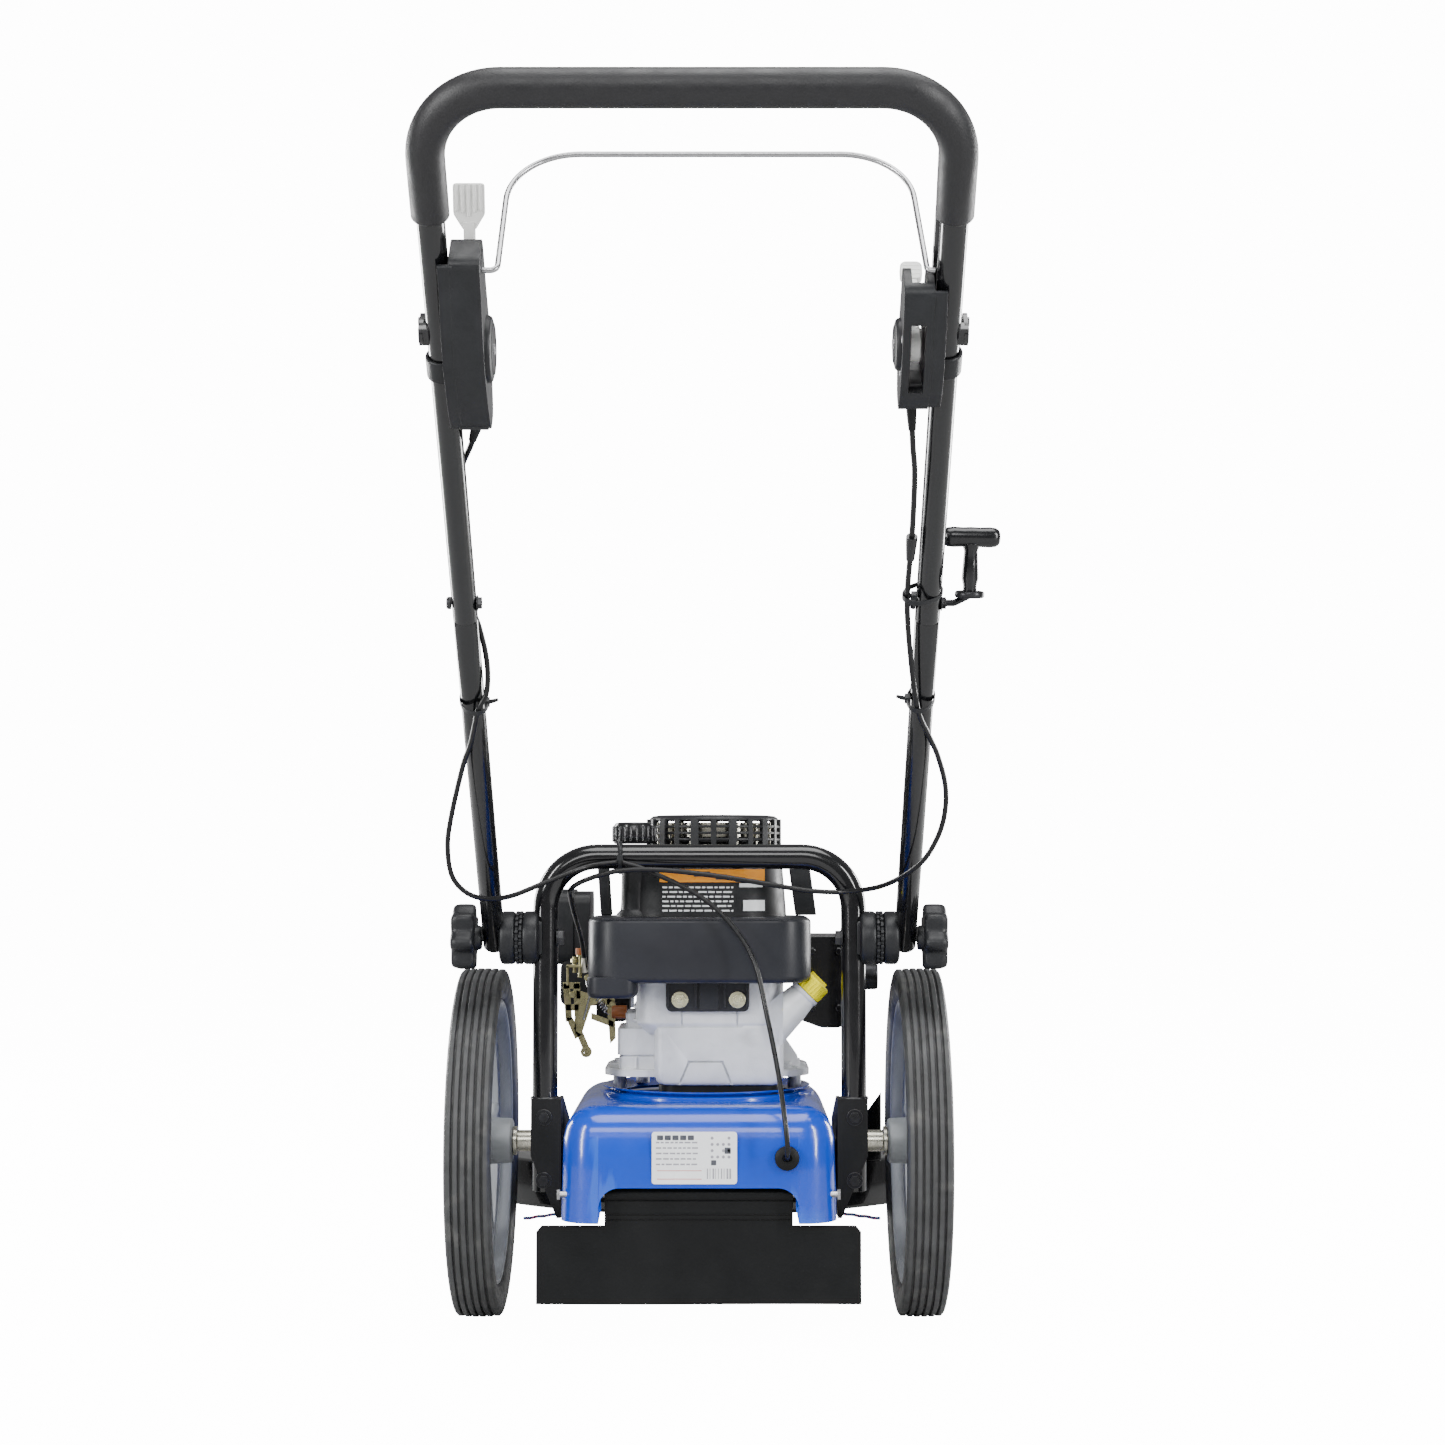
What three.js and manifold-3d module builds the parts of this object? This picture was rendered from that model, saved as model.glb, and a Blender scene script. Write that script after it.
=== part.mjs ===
// Walk-behind wheeled string trimmer, in millimetres, +Z up, +Y forward, +X to the operator's right.
// Everything on the chassis is placed from the point on the ground under the axle. The handle is
// built in its own group, whose origin is the fold pivot, +Y up along the tubes and +Z towards the
// operator's side. The last lines move the whole machine so that its origin is under its middle.
import * as THREE from "three";
import { mergeVertices } from "three/addons/utils/BufferGeometryUtils.js";
import Module from "manifold-3d";

const wasm = await Module();
wasm.setup();

// ---------------------------------------------------------------- driving dimensions
const GAP = 0.3; // left between pieces that touch
const SHEET = 3; // pressed steel

const wheel = { radius: 178, inner: 202, outer: 248, sides: 32 };
const axle = { z: wheel.radius, radius: 8 };

const engineX = 14;
const engineY = 15;
const spindleY = 390;
const cutRadius = 280;

const deck = {
  back: -190,
  halfTop: 130,
  halfFoot: 134,
  top: 230,
  frontTop: 212,
  footZ: 120,
  skirtZ: 138,
  wide: 120, // where the sides start to run in towards the nose
  noseRadius: 74,
  cornerRadius: 32,
};

const shield = { radius: 290, top: 137.4, thick: 2.8, foot: 87, front: 424 };
const hoop = { x: 154, y: -100, top: 472, bend: 52, radius: 12.5, wall: 1.8 };
const pivot = { y: -100, z: 391, boltRadius: 4 };

const handle = {
  angle: 43, // degrees above level, rising to the rear
  radius: 11,
  wall: 1.6,
  footX: 206,
  gripX: 200.6,
  bend: 60,
  length: 949,
  splice: 427,
};
const grip = { radius: 15, end: 838 };
const MACHINE_MIDDLE_Y = -109.8;

// ---------------------------------------------------------------- materials
const paint = (color, roughness, metalness = 0) =>
  new THREE.MeshStandardMaterial({ color, roughness, metalness });

const materials = {
  blue: paint(0x2b78dc, 0.25, 0.1),
  blackPaint: paint(0x16171a, 0.25, 0.2),
  blackPlastic: paint(0x202226, 0.5),
  greyPlastic: paint(0x4b4d57, 0.45),
  rubber: paint(0x15171a, 0.7),
  tyre: paint(0x3c3e3f, 0.8),
  rim: paint(0xb3b8bc, 0.4),
  foam: paint(0x3e3d44, 0.9),
  casting: paint(0xd3d5d8, 0.45, 0.6),
  zinc: paint(0xd8d2bc, 0.3, 0.9),
  brass: paint(0xc2ab5a, 0.35, 0.9),
  steel: paint(0xb8bbbf, 0.3, 0.9),
  yellow: paint(0xf5e211, 0.4),
  paddle: paint(0xd5d6d2, 0.4),
  nylon: paint(0x2f66b8, 0.5),
};

// ---------------------------------------------------------------- geometry helpers
function toSolid(geometry) {
  const plain = geometry.index ? geometry.toNonIndexed() : geometry.clone();
  plain.deleteAttribute("normal");
  plain.deleteAttribute("uv");
  const merged = mergeVertices(plain, 1e-4);
  return new wasm.Manifold(
    new wasm.Mesh({
      numProp: 3,
      vertProperties: merged.attributes.position.array,
      triVerts: new Uint32Array(merged.index.array),
    }),
  );
}

function toGeometry(solid) {
  const mesh = solid.getMesh();
  const geometry = new THREE.BufferGeometry();
  const positions = new Float32Array(mesh.vertProperties);
  geometry.setAttribute("position", new THREE.BufferAttribute(positions, 3));
  geometry.setIndex(new THREE.BufferAttribute(new Uint32Array(mesh.triVerts), 1));
  return geometry;
}

function join(...geometries) {
  return toGeometry(geometries.map(toSolid).reduce((all, next) => all.add(next)));
}

function cut(geometry, ...tools) {
  return toGeometry(tools.map(toSolid).reduce((left, tool) => left.subtract(tool), toSolid(geometry)));
}

function common(...geometries) {
  return toGeometry(geometries.map(toSolid).reduce((all, next) => all.intersect(next)));
}

// A box between two limits along each axis.
function box([x0, x1], [y0, y1], [z0, z1]) {
  const geometry = new THREE.BoxGeometry(x1 - x0, y1 - y0, z1 - z0);
  return geometry.translate((x0 + x1) / 2, (y0 + y1) / 2, (z0 + z1) / 2);
}

// Turns a shape made along Z so that it lies along another axis.
function along(axis, geometry) {
  if (axis === "x") geometry.rotateY(Math.PI / 2);
  if (axis === "y") geometry.rotateX(-Math.PI / 2);
  return geometry;
}

// A round bar between two places on an axis, through the point [a, b] across it.
// Across x the point is [y, z], across y it is [x, z] and across z it is [x, y].
function rod(axis, radius, [from, to], [a, b], sides = 14, endRadius = radius) {
  const geometry = new THREE.CylinderGeometry(endRadius, radius, to - from, sides);
  geometry.rotateX(Math.PI / 2);
  geometry.translate(0, 0, (from + to) / 2);
  along(axis, geometry);
  if (axis === "x") return geometry.translate(0, a, b);
  if (axis === "y") return geometry.translate(a, 0, b);
  return geometry.translate(a, b, 0);
}

// A turned shape about Z from [radius, height] pairs that run upwards round the outside.
function turned(profile, sides = 18) {
  const points = profile.map(([radius, height]) => new THREE.Vector2(radius, height));
  return new THREE.LatheGeometry(points, sides).rotateX(Math.PI / 2);
}

// An outline pulled up along Z between two heights.
function raised(shape, [from, to], curveSegments = 6) {
  const geometry = new THREE.ExtrudeGeometry(shape, {
    depth: to - from,
    bevelEnabled: false,
    curveSegments,
  });
  return geometry.translate(0, 0, from);
}

// An outline in the (y, z) plane pulled along X.
function acrossX(shape, limits, curveSegments = 6) {
  return raised(shape, limits, curveSegments).rotateX(Math.PI / 2).rotateZ(Math.PI / 2);
}

// An outline in the (x, z) plane pulled along Y.
function acrossY(shape, [from, to], curveSegments = 6) {
  return raised(shape, [-to, -from], curveSegments).rotateX(Math.PI / 2);
}

function outline(points) {
  return new THREE.Shape(points.map(([x, y]) => new THREE.Vector2(x, y)));
}

function circle(radius, sides) {
  const corner = (i) => {
    const turn = (2 * Math.PI * (i + 0.5)) / sides;
    return [radius * Math.cos(turn), radius * Math.sin(turn)];
  };
  return outline(Array.from({ length: sides }, (_, i) => corner(i)));
}

function roundedRectangle([x0, x1], [y0, y1], radius) {
  const shape = new THREE.Shape();
  shape.moveTo(x0 + radius, y0);
  shape.lineTo(x1 - radius, y0);
  shape.absarc(x1 - radius, y0 + radius, radius, -Math.PI / 2, 0);
  shape.lineTo(x1, y1 - radius);
  shape.absarc(x1 - radius, y1 - radius, radius, 0, Math.PI / 2);
  shape.lineTo(x0 + radius, y1);
  shape.absarc(x0 + radius, y1 - radius, radius, Math.PI / 2, Math.PI);
  shape.lineTo(x0, y0 + radius);
  shape.absarc(x0 + radius, y0 + radius, radius, Math.PI, 1.5 * Math.PI);
  return shape;
}

// A path that visits its points at even steps, so a tube has rings only where it needs them.
class PointPath extends THREE.Curve {
  constructor(points) {
    super();
    this.points = points;
  }
  getPoint(t, target = new THREE.Vector3()) {
    const last = this.points.length - 1;
    const before = Math.min(Math.floor(t * last + 1e-6), last - 1);
    return target.lerpVectors(this.points[before], this.points[before + 1], t * last - before);
  }
  getPointAt(u, target) {
    return this.getPoint(u, target);
  }
  getTangentAt(u, target = new THREE.Vector3()) {
    const last = this.points.length - 1;
    const here = Math.round(u * last);
    const step = (from) => this.points[from + 1].clone().sub(this.points[from]).normalize();
    const before = step(Math.max(here - 1, 0));
    const after = step(Math.min(here, last - 1));
    return target.addVectors(before, after).normalize();
  }
}

// The points of a bent bar: straight runs between corners, each corner rounded by its own radius.
function bentPoints(corners, radii, steps = 4) {
  const spots = corners.map(([x, y, z]) => new THREE.Vector3(x, y, z));
  const points = [spots[0]];
  for (let i = 1; i < spots.length - 1; i++) {
    const radius = Array.isArray(radii) ? radii[i - 1] : radii;
    const back = spots[i - 1].clone().sub(spots[i]).normalize();
    const ahead = spots[i + 1].clone().sub(spots[i]).normalize();
    const half = back.angleTo(ahead) / 2;
    const reach = radius / Math.tan(half);
    const toMiddle = back.clone().add(ahead).normalize();
    const middle = toMiddle.multiplyScalar(radius / Math.sin(half)).add(spots[i]);
    const start = spots[i].clone().addScaledVector(back, reach).sub(middle);
    const end = spots[i].clone().addScaledVector(ahead, reach).sub(middle);
    const sweep = start.angleTo(end);
    for (let k = 0; k <= steps; k++) {
      const a = Math.sin(((steps - k) / steps) * sweep) / Math.sin(sweep);
      const b = Math.sin((k / steps) * sweep) / Math.sin(sweep);
      points.push(start.clone().multiplyScalar(a).addScaledVector(end, b).add(middle));
    }
  }
  points.push(spots.at(-1));
  return points;
}

function tubeThrough(points, radius, sides = 10) {
  const path = new PointPath(points);
  return new THREE.ExtrudeGeometry(circle(radius, sides), {
    steps: points.length - 1,
    extrudePath: path,
    bevelEnabled: false,
  });
}

function bar(corners, radius, radii, sides = 10, steps = 4) {
  return tubeThrough(bentPoints(corners, radii, steps), radius, sides);
}

// A flexible cable through chosen points, on one smooth curve.
function cable(points, radius, steps, sides = 8) {
  const spots = points.map(([x, y, z]) => new THREE.Vector3(x, y, z));
  const curve = new THREE.CatmullRomCurve3(spots, false, "centripetal");
  return new THREE.ExtrudeGeometry(circle(radius, sides), {
    steps,
    extrudePath: curve,
    bevelEnabled: false,
  });
}

const machine = new THREE.Group();
const handleGroup = new THREE.Group();
handleGroup.position.set(0, pivot.y, pivot.z);
handleGroup.rotation.x = THREE.MathUtils.degToRad(180 - handle.angle);
machine.add(handleGroup);

function add(name, material, geometry, group = machine) {
  const mesh = new THREE.Mesh(geometry, materials[material]);
  mesh.name = name;
  group.add(mesh);
  return mesh;
}

const sides = [
  ["left", -1],
  ["right", 1],
];
const span = (side, near, far) => (side > 0 ? [near, far] : [-far, -near]);

// ---------------------------------------------------------------- deck
function deckSolid(inset) {
  const halfFoot = deck.halfFoot - inset;
  const halfTop = deck.halfTop - inset;
  const top = deck.top - inset;
  const frontTop = deck.frontTop - inset;
  const back = deck.back + inset;
  const corner = deck.cornerRadius - inset;
  const nose = deck.noseRadius - inset;
  const front = spindleY + nose;
  const foot = inset ? deck.footZ - 10 : deck.footZ;
  const skirt = inset ? foot : deck.skirtZ;

  const section = new THREE.Shape();
  section.moveTo(-halfFoot, foot);
  section.lineTo(halfFoot, foot);
  section.lineTo(halfTop, top - corner);
  section.absarc(halfTop - corner, top - corner, corner, 0, Math.PI / 2);
  section.lineTo(-(halfTop - corner), top);
  section.absarc(-(halfTop - corner), top - corner, corner, Math.PI / 2, Math.PI);

  const plan = new THREE.Shape();
  const backCorner = 16 - inset;
  const tangent = Math.atan2(deck.wide - spindleY, halfFoot) +
    Math.acos(nose / Math.hypot(halfFoot, spindleY - deck.wide));
  plan.moveTo(-(halfFoot - backCorner), back);
  plan.lineTo(halfFoot - backCorner, back);
  plan.absarc(halfFoot - backCorner, back + backCorner, backCorner, -Math.PI / 2, 0);
  plan.lineTo(halfFoot, deck.wide);
  plan.absarc(0, spindleY, nose, tangent, Math.PI - tangent);
  plan.lineTo(-halfFoot, deck.wide);
  plan.lineTo(-halfFoot, back + backCorner);
  plan.absarc(-(halfFoot - backCorner), back + backCorner, backCorner, Math.PI, 1.5 * Math.PI);

  const profile = new THREE.Shape();
  const backEdge = 26 - inset;
  const noseEdge = 14 - inset;
  profile.moveTo(back, foot);
  profile.lineTo(-150, foot);
  profile.lineTo(-150, skirt);
  profile.lineTo(front, skirt);
  profile.lineTo(front, frontTop - noseEdge);
  profile.absarc(front - noseEdge, frontTop - noseEdge, noseEdge, 0, Math.PI / 2);
  profile.lineTo(200, frontTop);
  profile.lineTo(150, top);
  profile.lineTo(back + backEdge, top);
  profile.absarc(back + backEdge, top - backEdge, backEdge, Math.PI / 2, Math.PI);

  return common(
    acrossY(section, [back - 1, front + 1], 4),
    raised(plan, [foot - 1, top + 1], 5),
    acrossX(profile, [-halfFoot - 1, halfFoot + 1], 3),
  );
}

const flap = {
  rodY: -172,
  rodZ: 146,
  rodRadius: 3,
  thick: 5,
  half: 157,
  neckHalf: 91,
  neckZ: 116,
  foot: 41,
};
const grommet = { x: 85, z: 183, hole: 9 };
const dish = { radius: 92, rim: 106, top: 243 };
const idler = { pivotX: 100, pivotY: 80, post: 5, x: 86, y: 190, radius: 20 };

function deckShell() {
  const arch = roundedRectangle([-96.5, 96.5], [deck.footZ - 40, 154], 20);
  const shell = cut(
    deckSolid(0),
    deckSolid(SHEET),
    acrossY(arch, [deck.back - 5, deck.back + SHEET + 16], 4),
    rod("z", 48, [deck.top - 20, deck.top + 20], [engineX, engineY], 22),
    rod("z", 24.5, [deck.frontTop - 20, deck.frontTop + 20], [0, spindleY], 20),
    rod("y", grommet.hole, [deck.back - 5, deck.back + 8], [grommet.x, grommet.z], 16),
    rod("x", flap.rodRadius + GAP, [-140, 140], [flap.rodY, flap.rodZ], 12),
    rod("x", axle.radius + GAP, [-140, 140], [0, axle.z], 16),
  );
  const post = rod("z", idler.post, [152, deck.top - 1], [idler.pivotX, idler.pivotY], 12);
  const wall = turned(
    [
      [dish.radius, deck.top - 2],
      [dish.radius + 3, deck.top - 2],
      [dish.rim + 1, dish.top - 2],
      [dish.rim, dish.top],
      [dish.rim - 3, dish.top],
      [dish.radius, deck.top + 1],
      [dish.radius, deck.top - 2],
    ],
    26,
  ).translate(6, engineY, 0);
  return join(shell, wall, post);
}

function grommetRing() {
  const { hole, x, z } = grommet;
  const sleeve = rod("y", hole - GAP, [deck.back - 4, deck.back + 7], [x, z], 16);
  const flange = rod("y", hole + 3, [deck.back - 4, deck.back - GAP], [x, z], 20);
  return cut(join(sleeve, flange), rod("y", 3.2, [deck.back - 6, deck.back + 9], [x, z], 12));
}

function rearFlap() {
  const plate = outline([
    [-flap.half, flap.foot],
    [flap.half, flap.foot],
    [flap.half, flap.neckZ - 8],
    [flap.half - 8, flap.neckZ],
    [flap.neckHalf, flap.neckZ],
    [flap.neckHalf, flap.rodZ],
    [-flap.neckHalf, flap.rodZ],
    [-flap.neckHalf, flap.neckZ],
    [-flap.half + 8, flap.neckZ],
    [-flap.half, flap.neckZ - 8],
  ]);
  const y = flap.rodY;
  const knuckle = rod("x", 7, [-flap.neckHalf, flap.neckHalf], [y, flap.rodZ], 14);
  const bore = rod("x", flap.rodRadius + GAP, [-flap.half, flap.half], [y, flap.rodZ], 12);
  const sheet = acrossY(plate, [y - flap.thick / 2, y + flap.thick / 2]);
  return cut(join(sheet, knuckle), bore);
}

function flapRod() {
  const heads = [-1, 1].map((side) => rod("x", 5.5, span(side, 134.2, 137), [flap.rodY, flap.rodZ], 6));
  return join(rod("x", flap.rodRadius, [-136, 136], [flap.rodY, flap.rodZ], 12), ...heads);
}

add("deck_shell", "blue", deckShell());
add("deck_grommet", "rubber", grommetRing());
add("rear_flap", "rubber", rearFlap());
add("flap_rod", "steel", flapRod());

// ---------------------------------------------------------------- shield and belt guard
function trimmerShield() {
  const { radius, top, thick, foot, front } = shield;
  const half = (r) => {
    const shape = new THREE.Shape();
    const lift = Math.asin((front - spindleY) / r);
    shape.absarc(0, spindleY, r, Math.PI - lift, 2 * Math.PI + lift);
    return shape;
  };
  const drum = raised(half(radius), [foot, top], 22);
  const hollow = cut(drum, raised(half(radius - thick), [foot - 1, top - thick], 22));
  const earDrum = cut(
    raised(half(radius), [top - 1, 211], 22),
    raised(half(radius - thick), [top - 2, 212], 22),
  );
  const earSection = outline([
    [142, top - 1],
    [199, top - 1],
    [199, 211],
    [171, 177],
    [142, 150],
  ]);
  const ear = common(earDrum, acrossY(earSection, [100, 240]));
  const open = box([-radius, radius], [front - 26, front + 20], [foot - 1, top - thick]);
  return cut(
    join(hollow, ear),
    open,
    rod("z", 32, [top - 20, top + 20], [0, spindleY], 20),
  );
}

function beltGuard() {
  const plan = roundedRectangle([-126, 126], [-146, 98], 10);
  const pan = raised(plan, [shield.top - shield.thick, shield.top], 3);
  const lip = box([-110, 110], [-146, -143], [shield.top - 1, 160]);
  return cut(join(pan, lip), rod("z", 26, [120, 150], [engineX, engineY], 20));
}

add("trimmer_shield", "blackPaint", trimmerShield());
add("belt_guard", "blackPaint", beltGuard());

// ---------------------------------------------------------------- hoop frame and axle
function hoopTube() {
  const { x, y, top, bend, radius, wall } = hoop;
  const foot = 140;
  const corners = [
    [-x, y, foot],
    [-x, y, top],
    [x, y, top],
    [x, y, foot],
  ];
  const inside = corners.map(([px, py, pz]) => [px, py, pz === foot ? foot - 2 : pz]);
  return cut(
    bar(corners, radius, bend, 10, 5),
    bar(inside, radius - wall, bend, 10, 5),
    rod("x", pivot.boltRadius + 0.4, [-180, 180], [pivot.y, pivot.z], 10),
  );
}

function hoopBracket(side) {
  const plate = outline([
    [-117, 115],
    [-60, 115],
    [24, 156],
    [24, 200],
    [-80, 232],
    [-117, 232],
  ]);
  const flange = outline([
    [side * 137, 115],
    [side * 141, 115],
    [side * 167, 176],
    [side * 167, 232],
    [side * 137, 232],
  ]);
  return cut(
    join(acrossX(plate, span(side, 137, 140.5)), acrossY(flange, [-117, -113.2])),
    rod("x", axle.radius + GAP, span(side, 130, 150), [0, axle.z], 16),
  );
}

// A shouldered stub axle: bolt head inside the deck, spacer shoulder, journal and nut.
function stubAxle(side) {
  return join(
    rod("x", 13, span(side, 118, 127), [0, axle.z], 6),
    rod("x", axle.radius, span(side, 120, 241), [0, axle.z], 12),
    rod("x", 11, span(side, 141, 193.6), [0, axle.z], 14),
    rod("x", 15, span(side, 189.5, 193.6), [0, axle.z], 14),
    rod("x", 13, span(side, 232.4, 243), [0, axle.z], 6),
  );
}

add("hoop_tube", "blackPaint", hoopTube());
for (const [name, side] of sides) {
  add(`hoop_bracket_${name}`, "blackPaint", hoopBracket(side));
  add(`axle_${name}`, "zinc", stubAxle(side));
}

// ---------------------------------------------------------------- wheels
const rim = { radius: 146, ring: 132, hub: 27, bore: axle.radius + GAP, spokes: 6 };

function tyre() {
  const half = (wheel.outer - wheel.inner) / 2;
  const { radius } = wheel;
  return turned(
    [
      [rim.radius + GAP, -half + 6],
      [rim.radius + 8, -half + 1],
      [radius - 14, -half],
      [radius - 4, -half + 4],
      [radius, -half + 12],
      [radius, half - 12],
      [radius - 4, half - 4],
      [radius - 14, half],
      [rim.radius + 8, half - 1],
      [rim.radius + GAP, half - 6],
      [rim.radius + GAP, -half + 6],
    ],
    wheel.sides,
  );
}

function wheelRim() {
  const ring = turned(
    [
      [rim.ring, -15],
      [rim.radius, -17],
      [rim.radius, 17],
      [rim.ring, 15],
      [rim.ring, -15],
    ],
    wheel.sides,
  );
  const web = cut(
    rod("z", rim.ring + 2, [-4, 4], [0, 0], wheel.sides),
    ...Array.from({ length: rim.spokes }, (_, i) => windowTool().rotateZ((i * 2 * Math.PI) / rim.spokes)),
  );
  const hub = rod("z", rim.hub, [-31, 7], [0, 0], 16);
  const bore = rod("z", rim.bore, [-40, 40], [0, 0], 12);
  const recess = rod("z", 16, [4, 20], [0, 0], 12);
  return cut(join(ring, web, hub), bore, recess);
}

function windowTool() {
  const shape = new THREE.Shape();
  shape.absarc(0, 0, rim.ring - 10, -0.36, 0.36);
  shape.lineTo(48 * Math.cos(0.25), 48 * Math.sin(0.25));
  shape.lineTo(48 * Math.cos(0.25), -48 * Math.sin(0.25));
  return raised(shape, [-10, 10], 3);
}

// A wheel is turned so that a flat of the tyre, not a corner, stands on the ground.
for (const [name, side] of sides) {
  const group = new THREE.Group();
  group.position.set((side * (wheel.inner + wheel.outer)) / 2, 0, axle.z);
  group.rotation.y = (side * Math.PI) / 2;
  machine.add(group);
  add(`tyre_${name}`, "tyre", tyre(), group);
  add(`rim_${name}`, "rim", wheelRim(), group);
}

// ---------------------------------------------------------------- engine
const crank = [engineX, engineY];

// The oil filler leans out to the right at 45 degrees.
function onFiller(geometry) {
  return geometry.rotateY(Math.PI / 4).translate(78, -74, 306);
}

function crankcase() {
  const [back, front] = [-72.7, 78];
  const upper = raised(roundedRectangle([-66, 85], [back, front], 24), [262, 345], 5);
  const lower = raised(roundedRectangle([-56, 76], [back, front - 8], 24), [244, 263], 5);
  const flange = raised(roundedRectangle([-98, 112], [-62, 92], 40), [249, 256], 6);
  const posts = [150, 30, 270].map((degrees) => {
    const turn = THREE.MathUtils.degToRad(degrees);
    const spot = [6 + 82 * Math.cos(turn), engineY + 82 * Math.sin(turn)];
    return rod("z", 8, [deck.top + GAP, 250], spot, 12);
  });
  const sideBox = box([-84, -60], [-50, 40], [262, 330]);
  const neck = cut(
    onFiller(rod("z", 20, [-40, 42], [0, 0], 16, 15)),
    box([0, 84], [-120, back], [240, 360]),
  );
  const bore = rod("z", 13, [240, 350], crank, 20);
  const dipstick = onFiller(rod("z", 6.5, [5, 50], [0, 0], 10));
  return cut(join(upper, lower, flange, ...posts, sideBox, neck), bore, dipstick);
}

function oilCap() {
  const cap = rod("z", 14, [42.4, 58], [0, 0], 16);
  const stick = rod("z", 5, [10, 43], [0, 0], 10);
  return onFiller(join(cap, stick));
}

const tank = { low: 347, top: 411, neckX: -67, neckY: -45, capLow: 485, capTop: 507 };

function fuelTank() {
  const band = cut(
    raised(roundedRectangle([-112, 112], [-118, 22], 34), [tank.low, tank.top], 6),
    rod("z", 90, [tank.low - 5, tank.top + 5], crank, 22),
    rod("z", 30, [tank.low - 5, tank.top + 5], [112, 0], 4),
    onFiller(join(rod("z", 17, [40, 62], [0, 0], 16), box([-17, 17], [-60, 0], [40, 62]))),
  );
  const lobe = raised(roundedRectangle([-112, -64], [-118, -72], 12), [331, tank.low + 2], 3);
  const neck = rod("z", 11.5, [tank.top - 2, tank.capLow - GAP], [tank.neckX, tank.neckY], 16);
  const lug = raised(roundedRectangle([-34, 52], [311, 350], 8), [73.6, 78], 3).rotateX(Math.PI / 2);
  const bolts = [-20, 38].map((x) => rod("y", 8.5, [-83, -77], [x, 322], 6));
  return join(band, lobe, neck, lug, ...bolts);
}

function fuelCap() {
  return turned(
    [
      [0, tank.capLow],
      [20, tank.capLow],
      [22, tank.capLow + 3],
      [23, tank.capTop - 4],
      [21, tank.capTop],
      [0, tank.capTop],
    ],
    20,
  ).translate(tank.neckX, tank.neckY, 0);
}

const shroud = { radius: 87, low: 345.6, top: 470 };

function blowerHousing() {
  const drum = cut(
    rod("z", shroud.radius, [shroud.low, shroud.top], crank, 26),
    rod("z", shroud.radius - 2.5, [shroud.low - 5, shroud.top - 3], crank, 26),
    rod("z", 52, [shroud.top - 10, shroud.top + 5], crank, 26),
    box([engineX - 57, engineX + 57], [90, 200], [shroud.low - 5, 400]),
  );
  const duct = cut(
    box([-50, 78], [engineY + 40, 190], [404, 448]),
    box([-47.5, 75.5], [engineY + 30, 187.5], [400, 445.5]),
    rod("z", shroud.radius - 1, [400, 450], crank, 26),
  );
  const posts = [
    [-98, -5, 12],
    [110, 8, 22],
  ].map(([x, lean, width]) => {
    const post = outline([
      [x - width / 2, tank.top + GAP],
      [x + width / 2, tank.top + GAP],
      [x + width / 2 - lean, shroud.top],
      [x - width / 2 - lean, shroud.top],
    ]);
    return acrossY(post, [2, 14]);
  });
  const arms = box([-100, 122], [2, 14], [shroud.top - 7, shroud.top]);
  const arm = cut(arms, rod("z", shroud.radius - 1, [400, 480], crank, 26));
  return join(drum, duct, ...posts, arm);
}

const recoil = { radius: 70, low: 470.3, top: 515 };

function recoilCover() {
  const shell = turned(
    [
      [recoil.radius - 2.5, recoil.low],
      [recoil.radius, recoil.low],
      [recoil.radius, recoil.top - 8],
      [recoil.radius - 5, recoil.top],
      [0, recoil.top],
      [0, recoil.top - 3],
      [recoil.radius - 7, recoil.top - 3],
      [recoil.radius - 2.5, recoil.top - 10],
      [recoil.radius - 2.5, recoil.low],
    ],
    24,
  );
  const slots = Array.from({ length: 8 }, (_, i) =>
    box([50, 80], [-9, 9], [recoil.low + 10, recoil.top - 12]).rotateZ(((i + 0.5) * Math.PI) / 4),
  );
  const ropeHole = rod("y", 6, [30, 90], [0, recoil.low + 14], 12);
  const hub = rod("z", 6, [recoil.low + 22, recoil.top - 1], [0, 0], 12);
  return join(cut(shell, ...slots, ropeHole), hub).translate(...crank, 0);
}

function recoilPulley() {
  const wheelBody = turned(
    [
      [0, 474],
      [56, 474],
      [56, 477],
      [50, 480],
      [50, 484],
      [56, 487],
      [56, 490],
      [0, 490],
    ],
    24,
  );
  return wheelBody.translate(...crank, 0);
}

function flywheel() {
  const body = turned(
    [
      [12 + GAP, 396],
      [30, 392],
      [76, 396],
      [76, 418],
      [52, 420],
      [46, 430],
      [12 + GAP, 430],
      [12 + GAP, 396],
    ],
    22,
  );
  const vanes = Array.from({ length: 8 }, (_, i) =>
    box([52, 74], [-1.5, 1.5], [417, 434]).rotateZ((i * Math.PI) / 4),
  );
  return join(body, ...vanes).translate(...crank, 0);
}

const belt = { low: 170, high: 180, crankRadius: 34, spindleRadius: 48, thick: 6 };

// A grooved pulley whose belt runs between the groove's walls.
function pulley(radius, bore, [x, y]) {
  const rim = radius + belt.thick + 2;
  return turned(
    [
      [bore, belt.low - 5],
      [rim, belt.low - 5],
      [rim, belt.low - 1.5],
      [radius - 0.4, belt.low + 1.2],
      [radius - 0.4, belt.high - 1.2],
      [rim, belt.high + 1.5],
      [rim, belt.high + 5],
      [bore, belt.high + 5],
      [bore, belt.low - 5],
    ],
    18,
  ).translate(x, y, 0);
}

function crankshaft() {
  return join(rod("z", 12, [152, 446], crank, 16), pulley(belt.crankRadius, 10, crank));
}

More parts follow.
